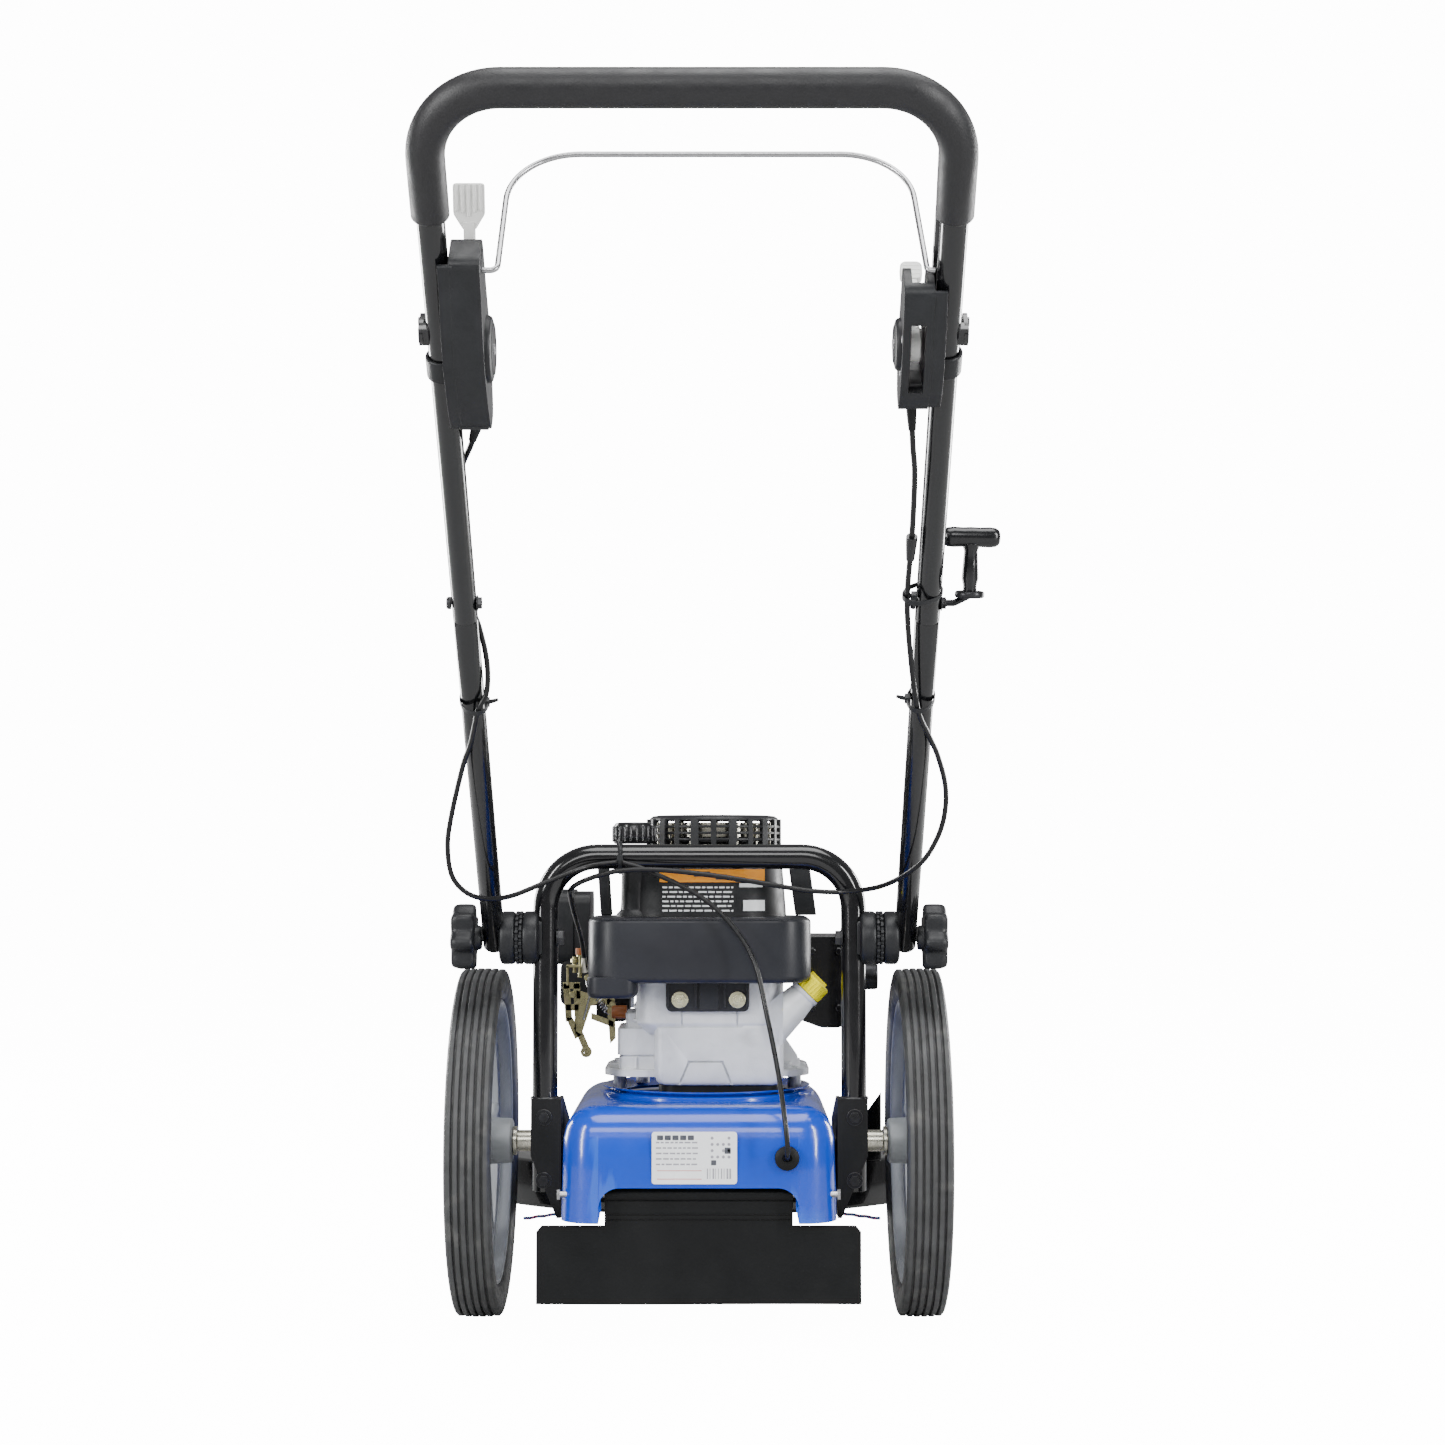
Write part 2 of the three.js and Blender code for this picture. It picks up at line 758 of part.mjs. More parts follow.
function cylinderBlock() {
  const core = rod("y", 40, [104, 150], [engineX, 352], 16);
  const fins = [106, 115, 124, 133, 142].map((y) =>
    box([engineX - 56, engineX + 56], [y, y + 3], [303, 398]),
  );
  return join(core, box([engineX - 30, engineX + 30], [101.5, 110], [330, 375]), ...fins);
}

function cylinderHead() {
  const base = box([engineX - 50, engineX + 50], [150.4, 162], [305, 396]);
  const fins = [-34, -12, 12, 34].map((x) =>
    box([engineX + x - 1.5, engineX + x + 1.5], [160, 176], [310, 392]),
  );
  const lid = roundedRectangle([engineX - 38, engineX + 18], [318, 372], 8);
  const cover = acrossY(lid, [160, 196], 3);
  return cut(join(base, ...fins, cover), rod("y", 8, [150, 190], [engineX + 24, 378], 12));
}

function sparkPlug() {
  const spot = [engineX + 24, 378];
  return join(
    rod("y", 7, [154, 166], spot, 6),
    rod("y", 5, [164, 186], spot, 12),
    rod("y", 9, [178, 204], spot, 12),
  );
}

function muffler() {
  const can = raised(roundedRectangle([104, 158], [292, 388], 16), [-132, -46], 4).rotateX(Math.PI / 2);
  const flange = box([engineX + 58, 106], [112, 128], [338, 362]);
  const outlet = cut(
    rod("x", 15, [156, 190], [85, 344], 16),
    rod("x", 11, [162, 195], [85, 344], 14),
  );
  return join(can, flange, outlet);
}

function carburettor() {
  const body = box([-104, -72], [108, 140], [336, 372]);
  const bowl = rod("z", 15, [308, 338], [-88, 124], 16);
  const throat = rod("x", 13, [-118.4, engineX - 58], [124, 354], 16);
  const inlet = rod("x", 9, [-130, engineX - 60], [124, 354], 14);
  return cut(join(body, bowl, throat), inlet);
}

function airFilter() {
  const base = acrossX(roundedRectangle([82, 166], [358, 434], 10), [-137, -119], 4);
  const cover = acrossX(roundedRectangle([80, 168], [356, 436], 14), [-166, -135], 4);
  const knob = join(
    rod("x", 11, [-178, -165], [124, 396], 10),
    rod("x", 14, [-172, -169], [124, 396], 10),
  );
  return cut(join(base, cover, knob), rod("x", 10, [-134, -110], [124, 364], 14));
}

function controlBracket() {
  const plate = outline([
    [-142, 300],
    [-128, 268],
    [-112, 274],
    [-104, 306],
    [-84, 312],
    [-84, 336],
    [-108, 340],
    [-116, 372],
    [-140, 368],
  ]);
  const foot = box([-100, -84], [50, 76], [326, 329]);
  return cut(
    join(acrossY(plate, [48, 51]), foot),
    rod("y", 3.3, [40, 60], [-122, 318], 12),
    rod("y", 5, [40, 60], [-130, 346], 10),
  );
}

// The lever that the throttle cable pulls, on a pin through the control bracket.
function throttleArm() {
  const arm = outline([
    [-128, 322],
    [-132, 288],
    [-126, 284],
    [-116, 314],
    [-98, 322],
    [-98, 328],
    [-118, 326],
  ]);
  return join(acrossY(arm, [43, 45.6]), rod("y", 3, [42, 54], [-122, 318], 12));
}

add("crankcase", "casting", crankcase());
add("oil_cap", "yellow", oilCap());
add("fuel_tank", "greyPlastic", fuelTank());
add("fuel_cap", "blackPlastic", fuelCap());
add("blower_housing", "blackPlastic", blowerHousing());
add("recoil_cover", "blackPlastic", recoilCover());
add("recoil_pulley", "blackPlastic", recoilPulley());
add("flywheel", "casting", flywheel());
add("crankshaft", "steel", crankshaft());
add("cylinder_block", "casting", cylinderBlock());
add("cylinder_head", "casting", cylinderHead());
add("spark_plug", "blackPlastic", sparkPlug());
add("muffler", "blackPaint", muffler());
add("carburettor", "casting", carburettor());
add("air_filter", "blackPlastic", airFilter());
add("control_bracket", "brass", controlBracket());
add("throttle_arm", "brass", throttleArm());

// ---------------------------------------------------------------- belt drive and trimmer head
function beltOutline(extra, Outline) {
  const [x, y] = crank;
  const towards = Math.atan2(spindleY - y, -x);
  const spread = Math.acos((belt.crankRadius - belt.spindleRadius) / Math.hypot(x, spindleY - y));
  const shape = new Outline();
  shape.absarc(x, y, belt.crankRadius + extra, towards + spread, towards - spread + 2 * Math.PI);
  shape.absarc(0, spindleY, belt.spindleRadius + extra, towards - spread, towards + spread);
  return shape;
}

function driveBelt() {
  const shape = beltOutline(belt.thick, THREE.Shape);
  shape.holes.push(beltOutline(0, THREE.Path));
  return raised(shape, [belt.low + 1.8, belt.high - 1.8], 12);
}

function idlerArm() {
  const { pivotX, pivotY, x, y, post } = idler;
  const plate = outline([
    [pivotX - 9, pivotY - 36],
    [pivotX + 9, pivotY - 36],
    [pivotX + 11, pivotY],
    [x + 8, y + 8],
    [x - 8, y + 8],
    [pivotX - 11, pivotY],
  ]);
  const tube = rod("z", 9, [157, 200], [pivotX, pivotY], 16);
  const pin = rod("z", 4, [159, 186], [x, y], 12);
  const hook = rod("z", 3, [159, 176], [pivotX + 3, pivotY - 30], 8);
  return cut(
    join(raised(plate, [158, 161.5]), tube, pin, hook),
    rod("z", post + GAP, [150, 210], [pivotX, pivotY], 12),
  );
}

function idlerPulley() {
  return cut(
    rod("z", idler.radius, [165, 183], [idler.x, idler.y], 24),
    rod("z", 4.4, [160, 190], [idler.x, idler.y], 12),
  );
}

function spindleHousing() {
  const flange = rod("z", 40, [deck.frontTop + GAP, 218], [0, spindleY], 20);
  const boss = rod("z", 24, [191, 250], [0, spindleY], 20);
  return cut(join(flange, boss), rod("z", 10.5, [180, 247], [0, spindleY], 20));
}

function spindle() {
  const shaft = rod("z", 10, [20, 245], [0, spindleY], 20);
  return join(shaft, pulley(belt.spindleRadius, 8, [0, spindleY]));
}

const line = { z: 70, radius: 2, coil: 22, spokes: 4 };

function lineSpokes(radius, from) {
  return Array.from({ length: line.spokes }, (_, i) =>
    rod("x", radius, [from, cutRadius], [0, line.z], 6).rotateZ(((i + 0.5) * 2 * Math.PI) / line.spokes),
  );
}

function lineCoil(half) {
  const { coil, z } = line;
  const square = [
    [coil - half, z - half],
    [coil + half, z - half],
    [coil + half, z + half],
    [coil - half, z + half],
    [coil - half, z - half],
  ];
  return turned(square, 16);
}

function cuttingLine() {
  return join(lineCoil(2.6), ...lineSpokes(line.radius, line.coil)).translate(0, spindleY, 0);
}

function trimmerHead() {
  const body = turned(
    [
      [10 + GAP, 52],
      [54, 52],
      [62, 60],
      [62, 82],
      [50, 91],
      [30, 98],
      [10 + GAP, 98],
      [10 + GAP, 52],
    ],
    20,
  );
  return cut(body, lineCoil(3.2), ...lineSpokes(line.radius + 0.6, line.coil)).translate(0, spindleY, 0);
}

function mowBall() {
  return turned(
    [
      [0, 0],
      [22, 0],
      [46, 7],
      [60, 21],
      [64, 34],
      [54, 48],
      [10.6, 48],
      [10.6, 17],
      [0, 17],
    ],
    20,
  ).translate(0, spindleY, 0);
}

add("drive_belt", "rubber", driveBelt());
add("idler_arm", "steel", idlerArm());
add("idler_pulley", "steel", idlerPulley());
add("spindle_housing", "casting", spindleHousing());
add("spindle", "steel", spindle());
add("trimmer_head", "blackPlastic", trimmerHead());
add("cutting_line", "nylon", cuttingLine());
add("mow_ball", "blackPlastic", mowBall());

// ---------------------------------------------------------------- handle fold joint
const coupler = { radius: 27, inner: 160, split: 180, outer: 199.5 };

function couplerInner(side) {
  const limits = span(side, coupler.inner, coupler.split - GAP);
  const disc = rod("x", coupler.radius, limits, [pivot.y, pivot.z], 20);
  const saddle = rod("z", hoop.radius + 0.8, [pivot.z - 40, pivot.z + 40], [side * hoop.x, hoop.y], 12);
  const bolt = rod("x", pivot.boltRadius, span(side, 138, 239.5), [pivot.y, pivot.z], 16);
  const head = rod("x", 8, span(side, 135, 141.2), [pivot.y, pivot.z], 16);
  return join(cut(disc, saddle), bolt, head);
}

for (const [name, side] of sides) {
  add(`coupler_inner_${name}`, "blackPlastic", couplerInner(side));
}

// ---------------------------------------------------------------- handle, in its own frame
const legX = (a) => handle.footX - ((handle.footX - handle.gripX) * a) / handle.length;
const bore = pivot.boltRadius + 0.4;
const spliceAt = 445;

function lowerTube(side) {
  const run = (from, to, radius) => {
    const ends = [from, to].map((a) => new THREE.Vector3(side * legX(a), a, 0));
    return tubeThrough(ends, radius);
  };
  const tube = cut(run(-12, handle.splice, handle.radius), run(-14, 400, handle.radius - handle.wall));
  const spigot = run(398, handle.splice + 39, handle.radius - handle.wall - 0.5);
  const disc = rod("x", coupler.radius, span(side, coupler.split, coupler.outer), [0, 0], 20);
  const body = cut(
    join(tube, spigot, cut(disc, run(-40, 40, handle.radius - 1))),
    rod("x", bore, span(side, 170, 230), [0, 0], 12),
  );
  if (side > 0) return cut(body, rod("x", 3.4, [180, 220], [spliceAt, 0], 12));
  return join(
    body,
    rod("x", 3, [-217, -190], [spliceAt, 0], 12),
    rod("x", 5.5, [-219, -215.4], [spliceAt, 0], 6),
    rod("x", 5.5, [-192, -188.4], [spliceAt, 0], 6),
  );
}

function gripPath(from) {
  const x = legX(from);
  return [
    [-x, from, 0],
    [-handle.gripX, handle.length, 0],
    [handle.gripX, handle.length, 0],
    [x, from, 0],
  ];
}

const bail = { a: 730, z: -16.5, pin: 4 };

// The ear outside each leg that the rod bail's pin turns in.
function bailEar(side) {
  const limits = [bail.a - 8, bail.a + 8];
  return cut(
    join(box(span(side, 214.8, 219), limits, [-23, 8]), box(span(side, 210, 219), limits, [-8, 8])),
    rod("x", bail.pin + 0.4, span(side, 205, 225), [bail.a, bail.z], 12),
  );
}

function upperTube() {
  const inner = handle.radius - handle.wall;
  const from = handle.splice + GAP;
  const tube = join(
    bar(gripPath(from), handle.radius, handle.bend, 10, 5),
    bailEar(-1),
    bailEar(1),
  );
  return cut(
    tube,
    bar(gripPath(from - 2), inner, handle.bend, 10, 5),
    rod("x", 3.5, [-230, 230], [spliceAt, 0], 12),
  );
}

function foamGrip() {
  return cut(
    bar(gripPath(grip.end), grip.radius, handle.bend, 10, 5),
    bar(gripPath(grip.end - 2), handle.radius + 0.5, handle.bend, 10, 5),
  );
}

function starKnob(side) {
  const lobes = 7;
  const points = Array.from({ length: lobes * 6 }, (_, i) => {
    const turn = (i * 2 * Math.PI) / (lobes * 6);
    const radius = 30 + 4 * Math.cos(lobes * turn);
    return [radius * Math.cos(turn), radius * Math.sin(turn)];
  });
  const star = acrossX(outline(points), span(side, 224, 247));
  const neck = rod("x", 12, span(side, 217.8, 230), [0, 0], 18);
  return cut(join(star, neck), rod("x", bore, span(side, 210, 241), [0, 0], 12));
}

// The wire bail is thrown forward from the tubes by its spring.
const wire = { a: 790, radius: 2.5, reach: 137, thrown: 82 };

function wireBail() {
  const turn = THREE.MathUtils.degToRad(wire.thrown);
  const place = ([x, reach]) => [x, wire.a + reach * Math.cos(turn), -reach * Math.sin(turn)];
  const corners = [
    [-164.6, 0],
    [-153, 0],
    [-149, wire.reach],
    [173, wire.reach],
    [183, 0],
    [189, 0],
  ].map(place);
  return bar(corners, wire.radius, [6, 42, 42, 4], 8, 4);
}

function rodBail() {
  const { a, z, pin } = bail;
  const corners = [
    [-221, a, z],
    [-210, a, z],
    [-210, 838, -20.4],
    [-208, 944, -20.4],
    [190, 944, -20.4],
    [192, 838, -20.4],
    [192, a, z],
    [221, a, z],
  ];
  return bar(corners, pin, [5, 20, 55, 55, 20, 5], 8, 4);
}

// Both control housings are an outline drawn along the tube, slotted for their lever.
function controlHousing(side, { profile, slot, hub, disc, width }) {
  const [near, far] = width;
  const [hubA, hubZ] = hub;
  const x = side * legX(hubA);
  const limits = [hubA - 28, hubA - 8];
  const clamp = cut(
    join(rod("y", 14, limits, [x, 0], 16), box(span(side, far - 2, 201), limits, [-13, 13])),
    rod("y", handle.radius + 0.7, [hubA - 40, hubA + 20], [x, 0], 12),
  );
  const body = acrossX(outline(profile), span(side, near, far));
  const boss = rod("x", disc, span(side, near - 5, near + 1), [hubA, hubZ], 24);
  return cut(join(body, boss, clamp), acrossX(outline(slot), span(side, near + 6.5, far - 6)));
}

const engage = {
  hub: [718, 4],
  disc: 27,
  width: [165, 189.4],
  profile: [
    [648, -4],
    [648, 20],
    [676, 30],
    [718, 36],
    [752, 30],
    [782, 18],
    [808, 16],
    [808, -24],
    [760, -24],
    [718, -27],
    [684, -20],
  ],
  slot: [
    [690, -45],
    [776, -45],
    [776, 8],
    [770, 8],
    [745, 22],
    [694, 22],
  ],
};

const throttle = {
  hub: [722, 3],
  disc: 21,
  width: [165, 187.4],
  profile: [
    [668, -2],
    [668, 20],
    [690, 28],
    [722, 30],
    [756, 24],
    [783, 16],
    [783, -20],
    [745, -22],
    [715, -24],
    [685, -16],
  ],
  slot: [
    [692, -45],
    [800, -45],
    [800, 6],
    [756, 6],
    [752, 45],
    [692, 45],
  ],
};

// A lever is made pointing up the tube from its hub, then laid at its angle.
function lever([hubA, hubZ], degrees, { middle, thick, disc, stem, paddle, half }) {
  const limits = [middle - thick / 2, middle + thick / 2];
  const shape = join(
    rod("x", disc, limits, [0, 0], 20),
    box(limits, [0, paddle[0] + 2], [-stem / 2, stem / 2]),
    box([middle - half, middle + half], paddle, [-4, 4]),
  );
  return shape.rotateX(THREE.MathUtils.degToRad(degrees)).translate(0, hubA, hubZ);
}

const starter = {
  eye: [239, 455, 0],
  pull: new THREE.Vector3(0.02, 0.8, -0.6).normalize(),
};

function onPullAxis(geometry) {
  const turn = new THREE.Quaternion().setFromUnitVectors(new THREE.Vector3(0, 0, 1), starter.pull);
  return geometry.applyQuaternion(turn).translate(...starter.eye);
}

function ropeGuide() {
  const eye = onPullAxis(
    turned(
      [
        [7, -3],
        [12, -3],
        [13, 0],
        [12, 3],
        [7, 3],
        [7, -3],
      ],
      18,
    ),
  );
  const wire = [
    [189, spliceAt, 0],
    [226, spliceAt, 0],
    [241, 447.5, -8],
  ];
  return join(
    eye,
    bar(wire, 3, 6, 10, 4),
    rod("x", 5.5, [188.4, 192], [spliceAt, 0], 6),
    rod("x", 5.5, [215.4, 219], [spliceAt, 0], 6),
  );
}

function starterHandle() {
  const stem = turned(
    [
      [0, -2],
      [6, -2],
      [6, 8],
      [8, 14],
      [6, 45],
      [0, 45],
    ],
    14,
  );
  const crossbar = join(
    rod("x", 9, [-21, 21], [0, 50], 14),
    rod("x", 6, [-25, 25], [0, 50], 14),
  );
  return onPullAxis(join(stem, crossbar));
}

for (const [name, side] of sides) {
  add(`handle_lower_${name}`, "blackPaint", lowerTube(side), handleGroup);
  add(`star_knob_${name}`, "blackPlastic", starKnob(side), handleGroup);
}
add("handle_upper", "blackPaint", upperTube(), handleGroup);
add("foam_grip", "foam", foamGrip(), handleGroup);
add("wire_bail", "steel", wireBail(), handleGroup);
add("rod_bail", "blackPaint", rodBail(), handleGroup);
add("engage_housing", "blackPlastic", controlHousing(-1, engage), handleGroup);
add(
  "engage_lever",
  "paddle",
  lever(engage.hub, -32, { middle: -177.4, thick: 10, disc: 17, stem: 8, paddle: [96, 130], half: 12.5 }),
  handleGroup,
);
add("throttle_housing", "blackPlastic", controlHousing(1, throttle), handleGroup);
add(
  "throttle_lever",
  "paddle",
  lever(throttle.hub, -75, { middle: 176.4, thick: 9, disc: 14, stem: 7, paddle: [66, 84], half: 9 }),
  handleGroup,
);
add("rope_guide", "steel", ropeGuide(), handleGroup);
add("starter_handle", "blackPlastic", starterHandle(), handleGroup);

// ---------------------------------------------------------------- cables
// Each route is a list of hand-chosen points on the chassis frame. The loops cross the fold joint.
const cableRadius = 2.5;
const hoopTie = -79;

const engageLoop = [
  [-178, -576.3, 826.3],
  [-186, -545.7, 814.8],
  [-198, -514.7, 796.8],
  [-202.5, -484.4, 770.6],
  [-203, -447.8, 736.5],
  [-202, -411.2, 702.4],
  [-194, -387.3, 676.7],
  [-188.5, -370.7, 646.2],
  [-190, -357.8, 620.4],
  [-198, -354, 604],
  [-207, -325, 577],
  [-217, -300, 556],
  [-231, -268, 510],
  [-236, -252, 480],
  [-232, -236, 451],
  [-214, -214, 434],
  [-186, -184, 433],
  [-148, -150, 448],
  [-112, -124, 462],
  [hoopTie, -119, 467],
];

const engageLower = [
  [hoopTie + 2.5, -119, 467],
  [-51, -121, 458],
  [-3, -126, 435],
  [29, -132, 408],
  [54, -140, 369],
  [67, -158, 314],
  [77, -190, 262],
  [82, -211, 225],
  [84.6, -216, 201],
  [85, -208, 187],
  [85, -192, 183],
  [85, -165, 182],
  [92, -110, 180],
  [102, -40, 176],
  [103, 30, 172],
];

const throttleLoop = [
  [176.4, -593.7, 839],
  [177.6, -583.5, 828],
  [180, -564, 809],
  [183, -542, 788],
  [184.5, -490, 745],
  [184, -440, 698],
  [189, -402, 655],
  [199, -358, 606],
  [211, -328, 584],
  [221, -308, 566],
  [230, -284, 541],
  [232, -266, 518],
  [228, -248, 495],
  [217, -228, 472],
  [203, -210, 458],
  [188, -184, 448],
  [170, -154, 441],
  [140, -128, 437],
  [112, -126, 438],
  [90, -124, 441],
];

const throttleLower = [
  [89, -124.1, 441],
  [49, -126, 448],
  [9, -127.5, 454],
  [-40, -127.5, 459],
  [hoopTie, -126.5, 458],
  [-110, -124, 450],
  [-128, -112, 440],
  [-130, -80, 428],
  [-128, -40, 410],
  [-125, 10, 388],
  [-123, 34, 366],
  [-122, 37, 350],
];

add("engage_cable_loop", "rubber", cable(engageLoop, cableRadius, 36));
add("engage_cable_lower", "rubber", cable(engageLower, cableRadius, 34));
add("throttle_cable_loop", "rubber", cable(throttleLoop, cableRadius, 38));
add("throttle_cable_lower", "rubber", cable(throttleLower, cableRadius, 24));

machine.position.y = -MACHINE_MIDDLE_Y;

export default machine;
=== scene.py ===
# The looks of a walk-behind wheeled string trimmer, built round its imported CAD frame.
# Lengths are in millimetres in two working frames, and in metres once a piece is placed:
#   CHASSIS  from the ground point under the axle, +X right, +Y forward, +Z up
#   HANDLE   from the fold pivot, +Y up along the tubes, +Z out of their underside
import math
import random

import bmesh
import bpy
from mathutils import Matrix, Vector


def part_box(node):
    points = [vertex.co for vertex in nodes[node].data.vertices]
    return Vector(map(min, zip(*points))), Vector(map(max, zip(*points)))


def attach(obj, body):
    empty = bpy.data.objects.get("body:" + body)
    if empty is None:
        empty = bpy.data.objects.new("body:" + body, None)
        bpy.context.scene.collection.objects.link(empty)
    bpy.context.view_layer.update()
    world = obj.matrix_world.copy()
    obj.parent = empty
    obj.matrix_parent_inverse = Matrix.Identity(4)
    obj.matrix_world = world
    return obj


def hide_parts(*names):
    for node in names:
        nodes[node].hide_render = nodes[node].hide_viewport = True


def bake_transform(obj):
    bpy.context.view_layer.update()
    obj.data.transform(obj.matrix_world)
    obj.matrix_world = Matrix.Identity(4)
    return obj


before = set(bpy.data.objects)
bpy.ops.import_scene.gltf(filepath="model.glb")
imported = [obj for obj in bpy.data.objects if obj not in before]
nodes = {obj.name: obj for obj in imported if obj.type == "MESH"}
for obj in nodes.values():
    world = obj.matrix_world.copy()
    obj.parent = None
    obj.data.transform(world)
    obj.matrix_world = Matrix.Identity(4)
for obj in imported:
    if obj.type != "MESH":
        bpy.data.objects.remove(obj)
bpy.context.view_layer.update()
MM = 0.001
SHARP_ANGLE = 38  # degrees; an edge sharper than this stays crisp


def middle(node):
    low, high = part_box(node)
    return (Vector(low) + Vector(high)) / 2


AXLE = middle("axle_left")
PIVOT = middle("coupler_inner_left")
HANDLE_ANGLE = 43.0  # degrees above level, rising to the rear
CHASSIS = Matrix.Translation((0, AXLE.y, 0)) @ Matrix.Scale(MM, 4)
HANDLE = (
    Matrix.Translation((0, PIVOT.y, PIVOT.z))
    @ Matrix.Rotation(math.radians(180 - HANDLE_ANGLE), 4, "X")
    @ Matrix.Scale(MM, 4)
)
SIDES = (("left", -1), ("right", 1))


# ---------------------------------------------------------------- camera
CAMERA_SPOT = (23, -2600, 474)
CAMERA_LENS = 62.0
CAMERA_TILT = 93.04  # degrees up from straight down


def make_camera():
    data = bpy.data.cameras.new("camera")
    data.sensor_width = 36
    data.lens = CAMERA_LENS
    data.clip_end = 50
    camera = bpy.data.objects.new("camera", data)
    camera.location = CHASSIS @ Vector(CAMERA_SPOT)
    camera.rotation_euler = (math.radians(CAMERA_TILT), 0, 0)
    bpy.context.scene.collection.objects.link(camera)
    bpy.context.scene.camera = camera


make_camera()


# ---------------------------------------------------------------- mesh helpers
def lay(axis, u, v, h):
    """A point drawn at (u, v) on a section and h along its axis."""
    if axis == "x":
        return Vector((h, u, v))
    if axis == "y":
        return Vector((u, h, v))
    return Vector((u, v, h))


def turn(bm, profile, axis="z", centre=(0, 0), segments=64, closed=False):
    """A turned shape from (radius, height) pairs, about an axis through centre."""
    rings = []
    for radius, height in profile:
        if radius == 0:
            rings.append([bm.verts.new(lay(axis, centre[0], centre[1], height))])
            continue
        ring = []
        for i in range(segments):
            angle = 2 * math.pi * i / segments
            u = centre[0] + radius * math.cos(angle)
            v = centre[1] + radius * math.sin(angle)
            ring.append(bm.verts.new(lay(axis, u, v, height)))
        rings.append(ring)
    pairs = list(zip(rings, rings[1:]))
    if closed:
        pairs.append((rings[-1], rings[0]))
    for a, b in pairs:
        for i in range(segments):
            j = (i + 1) % segments
            corners = [a[i % len(a)], a[j % len(a)], b[j % len(b)], b[i % len(b)]]
            kept = list(dict.fromkeys(corners))
            if len(kept) > 2:
                bm.faces.new(kept)


def pull(bm, outline, low, high, axis="z"):
    """An outline pulled along an axis, closed at both ends."""
    bottom = [bm.verts.new(lay(axis, u, v, low)) for u, v in outline]
    top = [bm.verts.new(lay(axis, u, v, high)) for u, v in outline]
    bm.faces.new(bottom)
    bm.faces.new(reversed(top))
    for i in range(len(outline)):
        j = (i + 1) % len(outline)
        bm.faces.new((bottom[i], top[i], top[j], bottom[j]))


def block(bm, x, y, z):
    pull(bm, [(x[0], y[0]), (x[1], y[0]), (x[1], y[1]), (x[0], y[1])], z[0], z[1])


def rod(bm, axis, radius, low, high, centre, segments=32):
    turn(bm, [(0, low), (radius, low), (radius, high), (0, high)], axis, centre, segments)


def spots_round(centre, radius, count, start=0.0):
    """Points spaced evenly round a circle, from a start angle in degrees."""
    spots = []
    for i in range(count):
        angle = 2 * math.pi * i / count + math.radians(start)
        spots.append((centre[0] + radius * math.cos(angle), centre[1] + radius * math.sin(angle)))
    return spots


def hexagon(radius, centre=(0, 0)):
    return spots_round(centre, radius, 6)


def span(side, near, far):
    """Two distances out from the middle, as rising x values on one side of the machine."""
    return sorted((side * near, side * far))


def mirrored(section, side):
    """A section's (radius, x) pairs, laid out on one side of the machine."""
    return [(radius, side * x) for radius, x in section]


def skin(bm, rings, closed=True):
    """Faces from each ring of points to the next. A closed ring joins up with its own start."""
    for a, b in zip(rings, rings[1:]):
        for i in range(len(a) if closed else len(a) - 1):
            j = (i + 1) % len(a)
            bm.faces.new((a[i], a[j], b[j], b[i]))


def arc(centre, radius, start, end, steps=8):
    """Points along an arc, from one angle to another in degrees."""
    points = []
    for i in range(steps + 1):
        angle = math.radians(start + (end - start) * i / steps)
        points.append((centre[0] + radius * math.cos(angle), centre[1] + radius * math.sin(angle)))
    return points


def rounded(u, v, radius, steps=6):
    """A rectangle's outline between two limits each way, with round corners."""
    (u0, u1), (v0, v1), r = u, v, radius
    return (
        arc((u1 - r, v0 + r), r, -90, 0, steps)
        + arc((u1 - r, v1 - r), r, 0, 90, steps)
        + arc((u0 + r, v1 - r), r, 90, 180, steps)
        + arc((u0 + r, v0 + r), r, 180, 270, steps)
    )


def smooth_path(points, steps=8):
    """An open smooth path through points."""
    spots = [Vector(p) for p in points]
    spots = [2 * spots[0] - spots[1], *spots, 2 * spots[-1] - spots[-2]]
    path = []
    for p0, p1, p2, p3 in zip(spots, spots[1:], spots[2:], spots[3:]):
        for k in range(steps):
            t = k / steps
            a = 2 * p1 + (p2 - p0) * t
            b = (2 * p0 - 5 * p1 + 4 * p2 - p3) * t**2
            c = (3 * p1 - p0 - 3 * p2 + p3) * t**3
            path.append((a + b + c) / 2)
    path.append(spots[-2])
    return path


def bent(corners, radii, steps=10):
    """Straight runs between corners, with each corner rounded by its own radius."""
    spots = [Vector(c) for c in corners]
    if not isinstance(radii, (list, tuple)):
        radii = [radii] * (len(spots) - 2)
    path = [spots[0]]
    for i, radius in enumerate(radii, start=1):
        back = (spots[i - 1] - spots[i]).normalized()
        ahead = (spots[i + 1] - spots[i]).normalized()
        half = back.angle(ahead) / 2
        centre = spots[i] + (back + ahead).normalized() * radius / math.sin(half)
        reach = radius / math.tan(half)
        start = spots[i] + back * reach - centre
        end = spots[i] + ahead * reach - centre
        for k in range(steps + 1):
            path.append(centre + start.normalized().slerp(end.normalized(), k / steps) * start.length)
    path.append(spots[-1])
    return path


